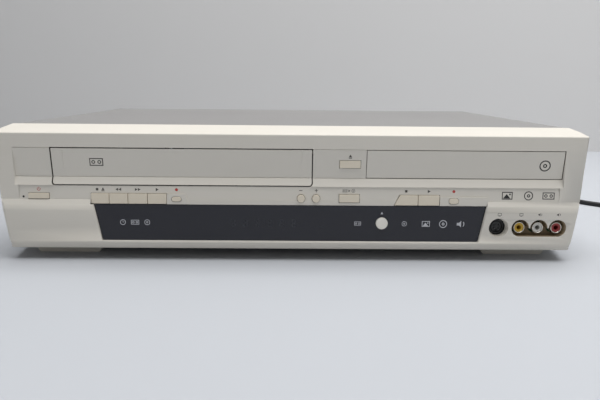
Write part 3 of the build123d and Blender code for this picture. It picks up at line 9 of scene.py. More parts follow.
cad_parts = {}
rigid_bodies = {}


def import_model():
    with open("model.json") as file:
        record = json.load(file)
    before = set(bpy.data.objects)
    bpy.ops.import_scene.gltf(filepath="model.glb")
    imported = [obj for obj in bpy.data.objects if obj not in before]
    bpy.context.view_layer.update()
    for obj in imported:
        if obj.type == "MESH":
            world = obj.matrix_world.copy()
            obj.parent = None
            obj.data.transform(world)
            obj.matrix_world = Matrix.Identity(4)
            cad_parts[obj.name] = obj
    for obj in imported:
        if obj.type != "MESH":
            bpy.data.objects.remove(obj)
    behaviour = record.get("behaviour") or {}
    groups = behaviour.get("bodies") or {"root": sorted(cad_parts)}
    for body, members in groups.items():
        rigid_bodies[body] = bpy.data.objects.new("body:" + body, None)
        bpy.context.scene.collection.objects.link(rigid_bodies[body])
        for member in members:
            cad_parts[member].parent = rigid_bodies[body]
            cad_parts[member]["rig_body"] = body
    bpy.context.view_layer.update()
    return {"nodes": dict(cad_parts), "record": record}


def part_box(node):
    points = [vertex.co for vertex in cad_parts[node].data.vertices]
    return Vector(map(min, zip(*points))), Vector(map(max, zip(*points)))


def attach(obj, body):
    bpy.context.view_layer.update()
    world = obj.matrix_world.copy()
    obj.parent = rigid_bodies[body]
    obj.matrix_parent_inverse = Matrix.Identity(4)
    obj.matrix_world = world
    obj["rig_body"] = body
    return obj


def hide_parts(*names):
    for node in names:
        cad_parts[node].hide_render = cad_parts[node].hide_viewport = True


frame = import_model()

# ---- places, from the solids ------------------------------------------------------------
MM = 0.001
nodes = frame["nodes"]
slot_of = {part["node"]: part["material_slot"] for part in frame["record"]["subparts"]}
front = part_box("front_panel")[0].y           # foremost point of the front moulding
rear_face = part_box("rear_panel")[1].y
socket_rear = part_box("rear_sockets")[1].y    # how far back the rear sockets reach
relief_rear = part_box("strain_relief")[1].y
jack_names = ("yellow_jack", "white_jack", "red_jack")
key_names = [name for name in nodes if name.endswith("_button")]


def middle(name):
    """Middle of a CAD node's box."""
    low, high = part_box(name)
    return (low + high) / 2


# ---- camera, fitted to the photograph's edges -------------------------------------------
camera_place = Vector((-0.0016, -0.6204, 0.1308))
camera_pitch = math.radians(10.46)   # downwards
camera_yaw = math.radians(0.895)     # towards +X
camera_roll = math.radians(0.543)
focal_share = 626.24 / 600           # focal length over the picture's width


def set_camera():
    """Puts the photograph's camera in place, its turn built from where it looks."""
    data = bpy.data.cameras.new("photo_camera")
    data.sensor_width = 36.0
    data.lens = focal_share * data.sensor_width
    data.clip_start = 0.01
    ahead = Vector((math.sin(camera_yaw) * math.cos(camera_pitch),
                    math.cos(camera_yaw) * math.cos(camera_pitch),
                    -math.sin(camera_pitch)))
    level = Vector((math.cos(camera_yaw), -math.sin(camera_yaw), 0))
    upward = level.cross(ahead)
    right = math.cos(camera_roll) * level + math.sin(camera_roll) * upward
    top = math.cos(camera_roll) * upward - math.sin(camera_roll) * level
    turn = Matrix((right, top, -ahead)).transposed().to_4x4()
    camera = bpy.data.objects.new("photo_camera", data)
    camera.matrix_world = Matrix.Translation(camera_place) @ turn
    bpy.context.scene.collection.objects.link(camera)
    bpy.context.scene.camera = camera


set_camera()


# ---- materials --------------------------------------------------------------------------
def linear(code):
    """sRGB hex to linear red, green, blue and alpha."""
    shares = [int(code[place:place + 2], 16) / 255 for place in (0, 2, 4)]
    return [s / 12.92 if s <= 0.04045 else ((s + 0.055) / 1.055) ** 2.4 for s in shares] + [1.0]


def add(tree, kind, inputs=None, **settings):
    """Adds a node; an input is a value or another node's output."""
    made = tree.nodes.new(kind)
    for name, value in settings.items():
        setattr(made, name, value)
    for name, value in (inputs or {}).items():
        if isinstance(value, bpy.types.NodeSocket):
            tree.links.new(value, made.inputs[name])
        else:
            made.inputs[name].default_value = value
    return made


def new_finish(name, **values):
    """Material with one shader; values are its sockets, with _ for a space."""
    material = bpy.data.materials.new(name)
    material.use_nodes = True
    tree = material.node_tree
    tree.nodes.clear()
    shader = add(tree, "ShaderNodeBsdfPrincipled",
                 {name.replace("_", " "): value for name, value in values.items()})
    add(tree, "ShaderNodeOutputMaterial", {"Surface": shader.outputs[0]})
    place = add(tree, "ShaderNodeTexCoord").outputs["Object"]
    return material, tree, shader, place


wave_cycle = math.tau / 20           # a wave texture of scale 1 repeats after this length


def per_metre(size):
    """Texture scale for a pattern whose features are this many millimetres."""
    return 1 / (size * MM)


def noise(tree, place, size, detail, roughness=0.5):
    """Noise whose features are this many millimetres."""
    return add(tree, "ShaderNodeTexNoise", {"Vector": place, "Scale": per_metre(size), "Detail": detail,
                                            "Roughness": roughness}).outputs[0]


def waves(tree, place, size, distortion, profile="SIN"):
    """Bands along Z, this many millimetres from one to the next."""
    wave = add(tree, "ShaderNodeTexWave",
               {"Vector": place, "Scale": per_metre(size) * wave_cycle, "Distortion": distortion},
               bands_direction="Z", wave_profile=profile)
    return wave.outputs[0]


def vary_colour(tree, shader, factor, dark, light):
    """Colour that wanders between two tones."""
    mixed = add(tree, "ShaderNodeMix", {0: factor, 6: linear(dark), 7: linear(light)}, data_type="RGBA")
    tree.links.new(mixed.outputs[2], shader.inputs["Base Color"])


def vary_roughness(tree, shader, factor, low, high):
    """Roughness that wanders between two values."""
    spread = add(tree, "ShaderNodeMapRange", {"Value": factor, "To Min": low, "To Max": high})
    tree.links.new(spread.outputs[0], shader.inputs["Roughness"])


def raise_grain(tree, shader, height, depth):
    """Bump whose full height is this many millimetres."""
    bump = add(tree, "ShaderNodeBump", {"Height": height, "Distance": depth * MM, "Strength": 1.0})
    tree.links.new(bump.outputs[0], shader.inputs["Normal"])


moulded_grain = 0.35                 # mm; coarser than the real one, so that it shows at all


def moulded_abs(name, dark, light, rough_low, rough_high, depth=0.006):
    """Moulded ABS with an eroded-mould texture: even satin, very slight cloudiness."""
    material, tree, shader, place = new_finish(name, IOR=1.53)
    cloud = noise(tree, place, size=90, detail=3.0, roughness=0.6)
    vary_colour(tree, shader, cloud, dark, light)
    fine = noise(tree, place, size=moulded_grain, detail=2.0)
    vary_roughness(tree, shader, fine, rough_low, rough_high)
    raise_grain(tree, shader, fine, depth)
    return material


def smoked_acrylic():
    """Moulded acrylic, smoked and polished: nearly black with a blue cast and a clear reflection.
    A little dust dulls it in patches."""
    material, tree, shader, place = new_finish("smoked_acrylic", IOR=1.49)
    dust = noise(tree, place, size=25, detail=6.0, roughness=0.7)
    vary_colour(tree, shader, dust, "15161f", "1b1c27")
    vary_roughness(tree, shader, dust, 0.10, 0.22)
    return material


def textured_paint():
    """Steel sheet with baked fine-texture paint: mid grey, a faint pebble, soft highlights."""
    material, tree, shader, place = new_finish("textured_paint", IOR=1.5)
    cloud = noise(tree, place, size=120, detail=2.0)
    vary_colour(tree, shader, cloud, "868483", "8e8c8b")
    pebble = noise(tree, place, size=0.8, detail=2.0, roughness=0.4)
    vary_roughness(tree, shader, pebble, 0.36, 0.5)
    raise_grain(tree, shader, pebble, 0.02)
    return material


def zinc_plated_steel():
    """Hot-dipped zinc on pressed steel: a cool sheen broken into 6 mm spangles."""
    material, tree, shader, place = new_finish("zinc_plated_steel", Metallic=1.0)
    spangle = add(tree, "ShaderNodeTexVoronoi", {"Vector": place, "Scale": per_metre(6)})
    tone = add(tree, "ShaderNodeSeparateColor", {"Color": spangle.outputs["Color"]}).outputs[0]
    vary_colour(tree, shader, tone, "a9acae", "c4c6c7")
    vary_roughness(tree, shader, tone, 0.32, 0.52)
    return material


def turned_steel():
    """Steel turned on a lathe: fine rings 0.79 mm apart give a bright, slightly streaked look."""
    material, tree, shader, place = new_finish("turned_steel", Metallic=1.0)
    rings = waves(tree, place, size=0.789, distortion=1.5)
    vary_colour(tree, shader, rings, "b4b5b6", "cfcfcf")
    vary_roughness(tree, shader, rings, 0.18, 0.34)
    return material


def nickel_plate():
    """Nickel-plated brass: warm grey mirror, softened by handling marks."""
    material, tree, shader, place = new_finish("nickel_plate", Metallic=1.0)
    marks = noise(tree, place, size=1.5, detail=4.0)
    vary_colour(tree, shader, marks, "c9c4b8", "dedad0")
    vary_roughness(tree, shader, marks, 0.16, 0.34)
    return material


def rolled_brass():
    """Rolled brass, for the plug's blades: yellow, mottled by handling."""
    material, tree, shader, place = new_finish("rolled_brass", Metallic=1.0)
    mottle = noise(tree, place, size=1.2, detail=4.0)
    vary_colour(tree, shader, mottle, "b8964e", "d6b468")
    vary_roughness(tree, shader, mottle, 0.2, 0.38)
    return material


def circuit_board():
    """Glass-epoxy board under green solder mask: copper shows through as lighter lines 9 mm apart."""
    material, tree, shader, place = new_finish("solder_mask", IOR=1.55)
    tracks = add(tree, "ShaderNodeTexBrick",
                 {"Vector": place, "Scale": per_metre(9), "Mortar Size": 0.06, "Brick Width": 0.9,
                  "Color1": linear("1f4a2b"), "Color2": linear("24532f"), "Mortar": linear("4f7f4d")})
    tree.links.new(tracks.outputs["Color"], shader.inputs["Base Color"])
    vary_roughness(tree, shader, tracks.outputs["Fac"], 0.28, 0.42)
    return material


def transformer_tape():
    """Yellow polyester tape over the windings: overlapped bands 12 mm wide."""
    material, tree, shader, place = new_finish("polyester_tape", IOR=1.6)
    bands = waves(tree, place, size=11.84, distortion=0.4, profile="SAW")
    vary_colour(tree, shader, bands, "b99a3c", "d3b652")
    vary_roughness(tree, shader, bands, 0.22, 0.36)
    return material


def display_glass():
    """Glass envelope of the display tube: dark, with the cathode mesh just visible as a grid."""
    material, tree, shader, place = new_finish("display_glass", IOR=1.5)
    grid = add(tree, "ShaderNodeTexChecker", {"Vector": place, "Scale": per_metre(1.2)}).outputs["Fac"]
    vary_colour(tree, shader, grid, "22302e", "2b3a37")
    vary_roughness(tree, shader, grid, 0.05, 0.1)
    return material


def soft_rubber(name, dark, light, rough_low, rough_high):
    """Rubber or soft PVC from a mould: near black, dull, with a bloom in patches."""
    material, tree, shader, place = new_finish(name, IOR=1.52)
    bloom = noise(tree, place, size=7, detail=5.0, roughness=0.65)
    vary_colour(tree, shader, bloom, dark, light)
    vary_roughness(tree, shader, bloom, rough_low, rough_high)
    raise_grain(tree, shader, bloom, 0.02)
    return material


def printed_ink(name, thin, full):
    """Screen-printed ink: matt, and thinner in specks where the mesh held less of it."""
    material, tree, shader, place = new_finish(name, IOR=1.5)
    specks = noise(tree, place, size=0.5, detail=2.0)
    vary_colour(tree, shader, specks, thin, full)
    vary_roughness(tree, shader, specks, 0.5, 0.65)
    return material


cream_abs = moulded_abs("cream_abs", "d8d3c9", "ded9cf", 0.42, 0.54)
key_abs = moulded_abs("key_abs", "e0d5c1", "e7ddcb", 0.32, 0.42, depth=0.003)
pale_key_abs = moulded_abs("pale_key_abs", "ebe7dd", "f2eee5", 0.3, 0.4, depth=0.003)
# painted shade: the jack wells' walls are cream ABS like the rest of the moulding; this brown stands in for
# the shade and warm bounce light inside them
well_shade_abs = moulded_abs("well_shade_abs", "8f7c60", "a08c6e", 0.5, 0.65)
# painted shade: the cut-out walls round the keys and doors are cream ABS; this near black stands in for the
# shade in the gaps
gap_shade_abs = moulded_abs("gap_shade_abs", "2f2519", "3c3023", 0.6, 0.75)
black_abs = moulded_abs("black_abs", "1b1b1c", "242425", 0.36, 0.5)
grey_abs = moulded_abs("grey_abs", "6c6d6e", "787979", 0.38, 0.52)
insert_plastics = {
    "yellow_jack": moulded_abs("yellow_insert", "c29a1e", "d1aa2c", 0.3, 0.4),
    "white_jack": moulded_abs("white_insert", "cfcdc6", "dad8d2", 0.3, 0.4),
    "red_jack": moulded_abs("red_insert", "8e1f20", "9f2a29", 0.3, 0.4),
}
window_acrylic = smoked_acrylic()
cover_paint = textured_paint()
zinc_steel = zinc_plated_steel()
bright_steel = turned_steel()
nickel = nickel_plate()
blade_brass = rolled_brass()
belt_rubber = soft_rubber("belt_rubber", "161616", "202020", 0.55, 0.75)
cord_pvc = soft_rubber("cord_pvc", "121214", "1b1b1d", 0.38, 0.52)
dark_ink = printed_ink("dark_ink", "57544e", "45423d")
black_ink = printed_ink("black_ink", "2a2928", "1d1c1c")
red_ink = printed_ink("red_ink", "c0453f", "b23731")
white_ink = printed_ink("white_ink", "b9bac0", "cbccd0")
segment_ink = printed_ink("unlit_segments", "2a2d33", "31353a")

slot_finish = {
    "cream_moulding": cream_abs,
    "cream_keys": key_abs,
    "smoked_plate": window_acrylic,
    "cover_steel": cover_paint,
    "zinc_steel": zinc_steel,
    "machined_steel": bright_steel,
    "black_plastic": black_abs,
    "grey_plastic": grey_abs,
    "circuit_board": circuit_board(),
    "display_glass": display_glass(),
    "transformer_tape": transformer_tape(),
    "yellow_socket": insert_plastics["yellow_jack"],
    "white_socket": insert_plastics["white_jack"],
    "red_socket": insert_plastics["red_jack"],
    "rubber": belt_rubber,
    "cord_black": cord_pvc,
}
key_finish = {name: pale_key_abs if name == "select_button" else key_abs for name in key_names}
for name, cad_object in nodes.items():
    cad_object.data.materials.clear()
    cad_object.data.materials.append(key_finish.get(name, slot_finish[slot_of[name]]))


# ---- building pieces --------------------------------------------------------------------
sharp_angle = math.radians(30)       # edges bent more than this are shaded as edges
join_distance = 0.002 * MM
flat_angle = math.radians(0.4)       # faces bent less than this become one


def make_piece(name, shape, materials, body, weighted=False):
    """Turns a bmesh into a piece that moves with a CAD body."""
    mesh = bpy.data.meshes.new(name)
    shape.to_mesh(mesh)
    shape.free()
    for material in materials:
        mesh.materials.append(material)
    mesh.shade_smooth()
    mesh.set_sharp_from_angle(angle=sharp_angle)
    made = bpy.data.objects.new(name, mesh)
    bpy.context.scene.collection.objects.link(made)
    if weighted:
        made.modifiers.new("flat_faces_stay_flat", "WEIGHTED_NORMAL").keep_sharp = True
    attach(made, body)
    return made


def merged_copy(name):
    """Copy of a CAD mesh, its triangles joined and its flat faces whole again."""
    shape = bmesh.new()
    shape.from_mesh(nodes[name].data)
    bmesh.ops.remove_doubles(shape, verts=shape.verts[:], dist=join_distance)
    bmesh.ops.dissolve_limit(shape, angle_limit=flat_angle, verts=shape.verts[:], edges=shape.edges[:])
    return shape


def round_edges(shape, radius, steps, wanted, angle=30.0):
    """Rounds the edges bent by more than angle degrees for which wanted(middle, direction) is true."""
    chosen = []
    for edge in shape.edges:
        if not edge.is_manifold or edge.calc_face_angle() < math.radians(angle):
            continue
        first, last = (vertex.co for vertex in edge.verts)
        if wanted((first + last) / 2, (last - first).normalized()):
            chosen.append(edge)
    bmesh.ops.bevel(shape, geom=chosen, offset=radius, offset_type="OFFSET", segments=steps, profile=0.5,
                    affect="EDGES", clamp_overlap=False)


def everywhere(_place, _direction):
    """Every edge is wanted."""
    return True


def rounded_piece(name, node, radius):
    """A CAD node with its edges as the mould or press leaves them; radius in millimetres."""
    shape = merged_copy(node)
    round_edges(shape, radius * MM, 2, everywhere)
    finish = key_finish.get(node, slot_finish[slot_of[node]])
    made = make_piece(name, shape, [finish], nodes[node]["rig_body"], weighted=True)
    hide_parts(node)


# ---- cord: from the strain relief to the floor, round the side, and into a coil ---------
cord_radius = 2.5 * MM
relief_end = Vector((190.0, relief_rear / MM, 32.0))
lying = cord_radius / MM             # height of its middle where it lies on the floor
route = [
    tuple(relief_end),
    (190.0, 204.0, 32.0),
    (191.0, 225.0, 26.5),
    (195.0, 244.0, 15.0),
    (203.0, 260.0, 5.5),
    (216.0, 276.0, lying),
    (238.0, 284.0, lying),
    (262.0, 277.0, lying),
    (281.0, 255.0, lying),
    (293.0, 223.0, lying),
    (301.0, 187.0, lying),
    (307.0, 149.0, lying),
    (314.0, 112.0, lying),
    (325.0, 77.5, lying),
    (345.5, 53.5, lying),
    (365.8, 30.1, lying),
]
coil_outer = 41.0
turn_step = 5.5
turns_in = 7                         # half turns on the floor
turns_out = 6                        # half turns on top of them
tail = 36.0
points_per_half = 12


def coil_points():
    """Route of the coil: spiral in on the floor, one climbing half turn, spiral out on top."""
    start = Vector(route[-1])
    ahead = (start - Vector(route[-2])).normalized()
    sideways = Vector((ahead.y, -ahead.x, 0))
    centre = start + ahead * 2 * lying - sideways * coil_outer
    swell = 1 / math.cos(math.pi / points_per_half / 2)   # knots stand outside the arc that they give
    points = []

    def half_turn(hub, arm, radius, side):
        for step in range(points_per_half):
            turn = math.pi * (step + 0.5) / points_per_half
            points.append(hub + arm * (math.cos(turn) * swell)
                          + ahead * (side * radius * math.sin(turn) * swell))

    reach, side = coil_outer, 1
    for _ in range(turns_in):
        inner = reach - turn_step / 2
        radius = (reach + inner) / 2
        half_turn(centre + sideways * (side * (reach - inner) / 2), sideways * (side * radius), radius, side)
        reach, side = inner, -side
    low_end = centre + sideways * (side * reach)
    reach -= turn_step / 2
    high_end = centre - sideways * (side * reach) + Vector((0, 0, turn_step))
    half_turn((low_end + high_end) / 2, (low_end - high_end) / 2, (low_end - high_end).length / 2, side)
    side = -side
    upper = centre + Vector((0, 0, turn_step))
    for growth in [turn_step] + [turn_step / 2] * (turns_out - 1):
        outer = reach + growth
        radius = (reach + outer) / 2
        half_turn(upper + sideways * (side * (reach - outer) / 2), sideways * (side * radius), radius, side)
        reach, side = outer, -side
    points.append(upper + sideways * (side * reach) + ahead * (side * tail / 2))
    points.append(upper + sideways * (side * reach) + ahead * (side * tail))
    return points


def lay_cord():
    """The cord as one round NURBS curve of soft PVC."""
    data = bpy.data.curves.new("power_cord", "CURVE")
    data.dimensions = "3D"
    data.bevel_depth = cord_radius
    data.bevel_resolution = 4
    data.resolution_u = 6
    data.use_fill_caps = True
    points = [Vector(point) for point in route] + coil_points()
    spline = data.splines.new("NURBS")
    spline.points.add(len(points) - 1)
    for knot, point in zip(spline.points, points):
        knot.co = (*(point * MM), 1.0)
    spline.order_u = 3
    spline.use_endpoint_u = True
    data.materials.append(cord_pvc)
    cord = bpy.data.objects.new("power_cord", data)
    bpy.context.scene.collection.objects.link(cord)
    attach(cord, "case")
    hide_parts("cord_run", "cord_coil")
    return cord


blade_length = 16.2 * MM
plug_radius = 0.3 * MM


def dress_plug():
    """The plug with softened edges, its two blades in brass.
    Its axis runs from the middle of its rear end to its farthest point from the coil's start."""
    shape = merged_copy("plug")
    tip = max(shape.verts, key=lambda vertex: (vertex.co - Vector(route[-1]) * MM).length).co.copy()
    rear_end = [vertex.co.copy() for vertex in shape.verts if (vertex.co - tip).length > 3 * blade_length]
    rear = sum(rear_end, Vector()) / len(rear_end)
    axis = (Vector((tip.x, tip.y, rear.z)) - rear).normalized()
    end = max(vertex.co.dot(axis) for vertex in shape.verts)
    for face in shape.faces:
        if face.calc_center_median().dot(axis) > end - blade_length:
            face.material_index = 1
    round_edges(shape, plug_radius, 2, everywhere)
    made = make_piece("moulded_plug", shape, [cord_pvc, blade_brass], "case", weighted=True)
    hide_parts("plug")
    return made


power_cord = lay_cord()
moulded_plug = dress_plug()


# ---- case -------------------------------------------------------------------------------
split_height = 46.0 * MM             # between the lower part's ends and the upper part's
jaw_end_x = 205.0 * MM               # the lower part's upright end edges lie beyond this
jaw_corner = 2.2 * MM
upper_end_x = 213.0 * MM             # the upper part's lie beyond this
brow_height = 93.0 * MM              # the top strip's long edges lie above this
brow_radius = 0.9 * MM
ridge_low, ridge_high = 39.5 * MM, 41.5 * MM         # the lower part is foremost between these heights
ridge_radius = 2.6 * MM
ridge_depth = 1.0 * MM
edge_depth = 4.0 * MM                # an edge of the front's face isn't set back more than this
gap_setback = 3.6 * MM               # the walls of a cut-out are set back more than this
well_low, well_high = 2.0 * MM, 10.4 * MM            # setbacks between which a face is inside a well
well_reach = 7.4 * MM                # to either side of a jack's middle
gap_reach = {name: 1.0 * MM for name in key_names + ["cassette_flap"]}   # from a piece to its cut-out's walls
gap_reach["tray_front"] = 0.5 * MM


def in_well(place):
    """A wall of the wells round the jacks."""
    near = any(abs(place.x - middle(name).x) < well_reach and abs(place.z - middle(name).z) < well_reach
               for name in jack_names)
    return near and front + well_low < place.y < front + well_high


def in_key_gap(place, facing):
    """A wall of the cut-outs round the keys and doors, behind the surface."""
    if place.y < front + gap_setback or abs(facing.y) > 0.5:
        return False
    for name, reach in gap_reach.items():
        low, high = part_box(name)
        if low.x - reach < place.x < high.x + reach and low.z - reach < place.z < high.z + reach:
            return True
    return False


def dress_front_panel():
    """The front moulding, the walls of its wells and cut-outs painted with shade, its outer edges rounded."""
    shape = merged_copy("front_panel")
    for face in shape.faces:
        centre = face.calc_center_median()
        # the walls of the wells and of the cut-outs get the painted shade finishes
        if in_well(centre):
            face.material_index = 1
        elif in_key_gap(centre, face.normal):
            face.material_index = 2

    def upright(place, direction):
        return abs(direction.z) > 0.9 and place.y < front + edge_depth

    def lengthways(direction):
        return abs(direction.x) > 0.95

    def jaw_end(place, direction):
        return upright(place, direction) and abs(place.x) > jaw_end_x and place.z < split_height

    def upper_end(place, direction):
        return upright(place, direction) and abs(place.x) > upper_end_x and place.z > split_height

    def brow(place, direction):
        return lengthways(direction) and place.z > brow_height and place.y < front + edge_depth

    def ridge(place, direction):
        return lengthways(direction) and ridge_low < place.z < ridge_high and place.y < front + ridge_depth

    round_edges(shape, ridge_radius, 5, ridge, angle=15)
    round_edges(shape, jaw_corner, 5, jaw_end, angle=50)
    round_edges(shape, brow_radius, 3, brow, angle=20)
    round_edges(shape, brow_radius, 3, upper_end, angle=50)
    made = make_piece("front_moulding", shape, [cream_abs, well_shade_abs, gap_shade_abs], "case",
                      weighted=True)
    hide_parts("front_panel")


dress_front_panel()
rounded_piece("tape_door", "cassette_flap", 0.25)
rounded_piece("tray_door", "tray_front", 0.25)
rounded_piece("window_plate", "display_window", 0.15)
rounded_piece("painted_cover", "top_cover", 0.2)
rounded_piece("moulded_tray", "disc_tray", 0.3)
for name in key_names:
    rounded_piece(f"{name}_moulding", name, 0.3)


# ---- front sockets ----------------------------------------------------------------------
turned_sides = 48
barrel = 4.15 * MM                   # radius
barrel_wall = 0.62 * MM
barrel_lip = 0.15 * MM               # its bevelled edge
insert_setback = 0.4 * MM            # of the coloured insert's face, from the barrel's
insert_depth = 8.5 * MM
insert_gap = 0.02 * MM               # from the barrel
pin_hole = 1.65 * MM                 # radius
pin_hole_depth = 7.0 * MM
floor_overlap = 0.05 * MM            # of the hole's floor into its wall


def turned(shape, x, z, outline, material_index=0):
    """Adds a closed ring turned about a line along Y; outline holds radius and Y, in metres."""
    angles = [math.tau * side / turned_sides for side in range(turned_sides)]
    loops = []
    for radius, y in outline:
        loops.append([shape.verts.new((x + radius * math.cos(angle), y, z + radius * math.sin(angle)))
                      for angle in angles])
    for loop, following in zip(loops, loops[1:] + loops[:1]):
        for side in range(turned_sides):
            after = (side + 1) % turned_sides
            face = shape.faces.new((following[side], following[after], loop[after], loop[side]))
            face.material_index = material_index


def dress_jack(name):
    """Nickel barrel round a coloured insert with the pin's hole."""
    low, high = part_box(name)
    x, z = middle(name).x, middle(name).z
    bore = barrel - barrel_wall
    insert = bore - insert_gap
    insert_face = low.y + insert_setback
    shape = bmesh.new()
    turned(shape, x, z, [(bore, low.y + barrel_lip), (bore + barrel_lip, low.y), (barrel - barrel_lip, low.y),
                         (barrel, low.y + barrel_lip), (barrel, high.y - MM), (bore, high.y - MM)])
    turned(shape, x, z, [(pin_hole, low.y + insert_depth), (pin_hole, insert_face + barrel_lip),
                         (pin_hole + barrel_lip, insert_face), (insert, insert_face),
                         (insert, low.y + insert_depth)], material_index=1)
    facing = Matrix.Rotation(math.radians(90), 4, "X")
    place = Matrix.Translation((x, low.y + pin_hole_depth, z)) @ facing
    hole_floor = bmesh.ops.create_circle(shape, cap_ends=True, segments=24,
                                         radius=pin_hole + floor_overlap, matrix=place)
    for face in {face for vertex in hole_floor["verts"] for face in vertex.link_faces}:
        face.material_index = 2
    bmesh.ops.recalc_face_normals(shape, faces=shape.faces[:])
    finishes = [nickel, insert_plastics[name], black_abs]
    made = make_piece(f"{name}_dressed", shape, finishes, "case")
    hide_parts(name)


for name in jack_names:
    dress_jack(name)


# ---- printed signs ----------------------------------------------------------------------
# Shapes are lists of outlines in X and Z, in millimetres. Each sign is drawn about its middle.
def bar(left, low, right, high):
    return [[(left, low), (right, low), (right, high), (left, high)]]


def box_at(x, z, wide, tall):
    return bar(x - wide / 2, z - tall / 2, x + wide / 2, z + tall / 2)


def at_angle(x, z, radius, angle):
    return x + radius * math.cos(angle), z + radius * math.sin(angle)


def wedge(x, z, size, turn=0.0):
    """Triangle that points right, turned by degrees."""
    corners = [(size * 0.5, 0), (-size * 0.4, size * 0.5), (-size * 0.4, -size * 0.5)]
    angle = math.radians(turn)
    return [[(x + a * math.cos(angle) - b * math.sin(angle), z + a * math.sin(angle) + b * math.cos(angle))
             for a, b in corners]]


def double_wedge(x, z, size, turn=0.0):
    return wedge(x - size / 2, z, size, turn) + wedge(x + size / 2, z, size, turn)


def ring(x, z, outer, inner, start=0.0, sweep=360.0, steps=28):
    """Ring or arc of short pieces, its angles in degrees."""
    angles = [math.radians(start + sweep * step / steps) for step in range(steps + 1)]
    return [[at_angle(x, z, outer, first), at_angle(x, z, outer, last),
             at_angle(x, z, inner, last), at_angle(x, z, inner, first)]
            for first, last in zip(angles, angles[1:])]


def dot(x, z, radius, steps=24):
    return [[at_angle(x, z, radius, math.tau * step / steps) for step in range(steps)]]


def frame_sign(x, z, wide, tall, line):
    """Outline of a box."""
    left, right, low, high = x - wide / 2, x + wide / 2, z - tall / 2, z + tall / 2
    return (bar(left, low, right, low + line)
            + bar(left, high - line, right, high)
            + bar(left, low + line, left + line, high - line)
            + bar(right - line, low + line, right, high - line))


def tape_sign(x, z, wide):
    """Tape cassette: a box with two reels."""
    line = wide * 0.07
    reel = wide * 0.14
    return (frame_sign(x, z, wide, wide * 0.58, line)
            + ring(x - wide * 0.22, z, reel, reel - line)
            + ring(x + wide * 0.22, z, reel, reel - line))


def disc_sign(x, z, radius):
    """Disc: its rim and the ring round its hole."""
    return ring(x, z, radius, radius * 0.8) + ring(x, z, radius * 0.36, radius * 0.16)


def power_sign(x, z, radius):
    """Broken ring with a stroke."""
    return (ring(x, z, radius, radius * 0.72, start=125, sweep=290)
            + bar(x - radius * 0.14, z, x + radius * 0.14, z + radius * 1.15))


def eject_sign(x, z, size):
    """Triangle that points up, over a bar."""
    return (wedge(x, z + size * 0.15, size, turn=90)
            + bar(x - size * 0.5, z - size * 0.62, x + size * 0.5, z - size * 0.4))


def stop_sign(x, z):
    return box_at(x, z, 1.8, 1.8)


def minus_sign(x, z):
    return bar(x - 1.2, z - 0.2, x + 1.2, z + 0.25)


def plus_sign(x, z):
    return minus_sign(x, z) + box_at(x, z, 0.4, 2.4)


def screen_sign(x, z, wide):
    """Screen on a foot."""
    return (frame_sign(x, z, wide, wide * 0.7, wide * 0.1)
            + box_at(x, z - wide * 0.47, wide * 0.5, wide * 0.1))


def speaker_sign(x, z, size):
    """Loudspeaker with one sound wave."""
    cone = [(x - size * 0.2, z - size * 0.18), (x + size * 0.1, z - size * 0.45),
            (x + size * 0.1, z + size * 0.45), (x - size * 0.2, z + size * 0.18)]
    return (box_at(x - size * 0.35, z, size * 0.3, size * 0.36) + [cone]
            + ring(x, z, size * 0.55, size * 0.43, start=-40, sweep=80, steps=8))


def picture_sign(x, z, wide):
    """Photograph: a box with a hill and a sun."""
    foot = z - wide * 0.26
    hill = [(x - wide * 0.38, foot), (x + wide * 0.3, foot), (x - wide * 0.05, z + wide * 0.16)]
    return (frame_sign(x, z, wide, wide * 0.72, wide * 0.08) + [hill]
            + dot(x + wide * 0.25, z + wide * 0.12, wide * 0.08))


def clock_sign(x, z, radius):
    """Clock face with two hands."""
    hand = radius * 0.08
    return (ring(x, z, radius, radius * 0.8)
            + bar(x - hand, z, x + hand, z + radius * 0.6)
            + bar(x, z - hand, x + radius * 0.45, z + hand))


def digit(x, z, tall):
    """All segments of a seven-segment digit, from the top one clockwise, the middle one last."""
    line = tall * 0.1
    left, right = x - tall / 4, x + tall / 4
    low, high = z - tall / 2, z + tall / 2
    return (bar(left + line, high - line, right - line, high)
            + bar(right - line, z + line, right, high - line)
            + bar(right - line, low + line, right, z - line)
            + bar(left + line, low, right - line, low + line)
            + bar(left, low + line, left + line, z - line)
            + bar(left, z + line, left + line, high - line)
            + bar(left + line, z - line / 2, right - line, z + line / 2))


ray_start = 0.1                      # metres in front of the case


def surface_of(name):
    """Gives a function that finds the Y of a CAD node's foremost surface at an X and Z."""
    mesh = nodes[name].data
    corners = [vertex.co.copy() for vertex in mesh.vertices]
    tree = BVHTree.FromPolygons(corners, [list(polygon.vertices) for polygon in mesh.polygons])

    def find(x, z):
        start = Vector((x * MM, front - ray_start, z * MM))
        return tree.ray_cast(start, Vector((0, 1, 0)))[0].y
    return find


ink_height = 0.03 * MM
ink_depth = 0.09 * MM


def print_signs(name, outlines, surface, ink, body):
    """Lays the outlines on the surface as a thin layer of ink, two thirds of it sunk in."""
    shape = bmesh.new()
    for outline in outlines:
        top = [shape.verts.new((x * MM, surface(x, z) - ink_height, z * MM)) for x, z in outline]
        back = [shape.verts.new(vertex.co + Vector((0, ink_depth, 0))) for vertex in top]
        shape.faces.new(top)
        shape.faces.new(back[::-1])
        for place, vertex in enumerate(top):
            after = (place + 1) % len(top)
            shape.faces.new((vertex, back[place], back[after], top[after]))
    bmesh.ops.recalc_face_normals(shape, faces=shape.faces[:])
    make_piece(name, shape, [ink], body)


def x_of(name):
    """X of a CAD node's middle, in millimetres."""
    return middle(name).x / MM


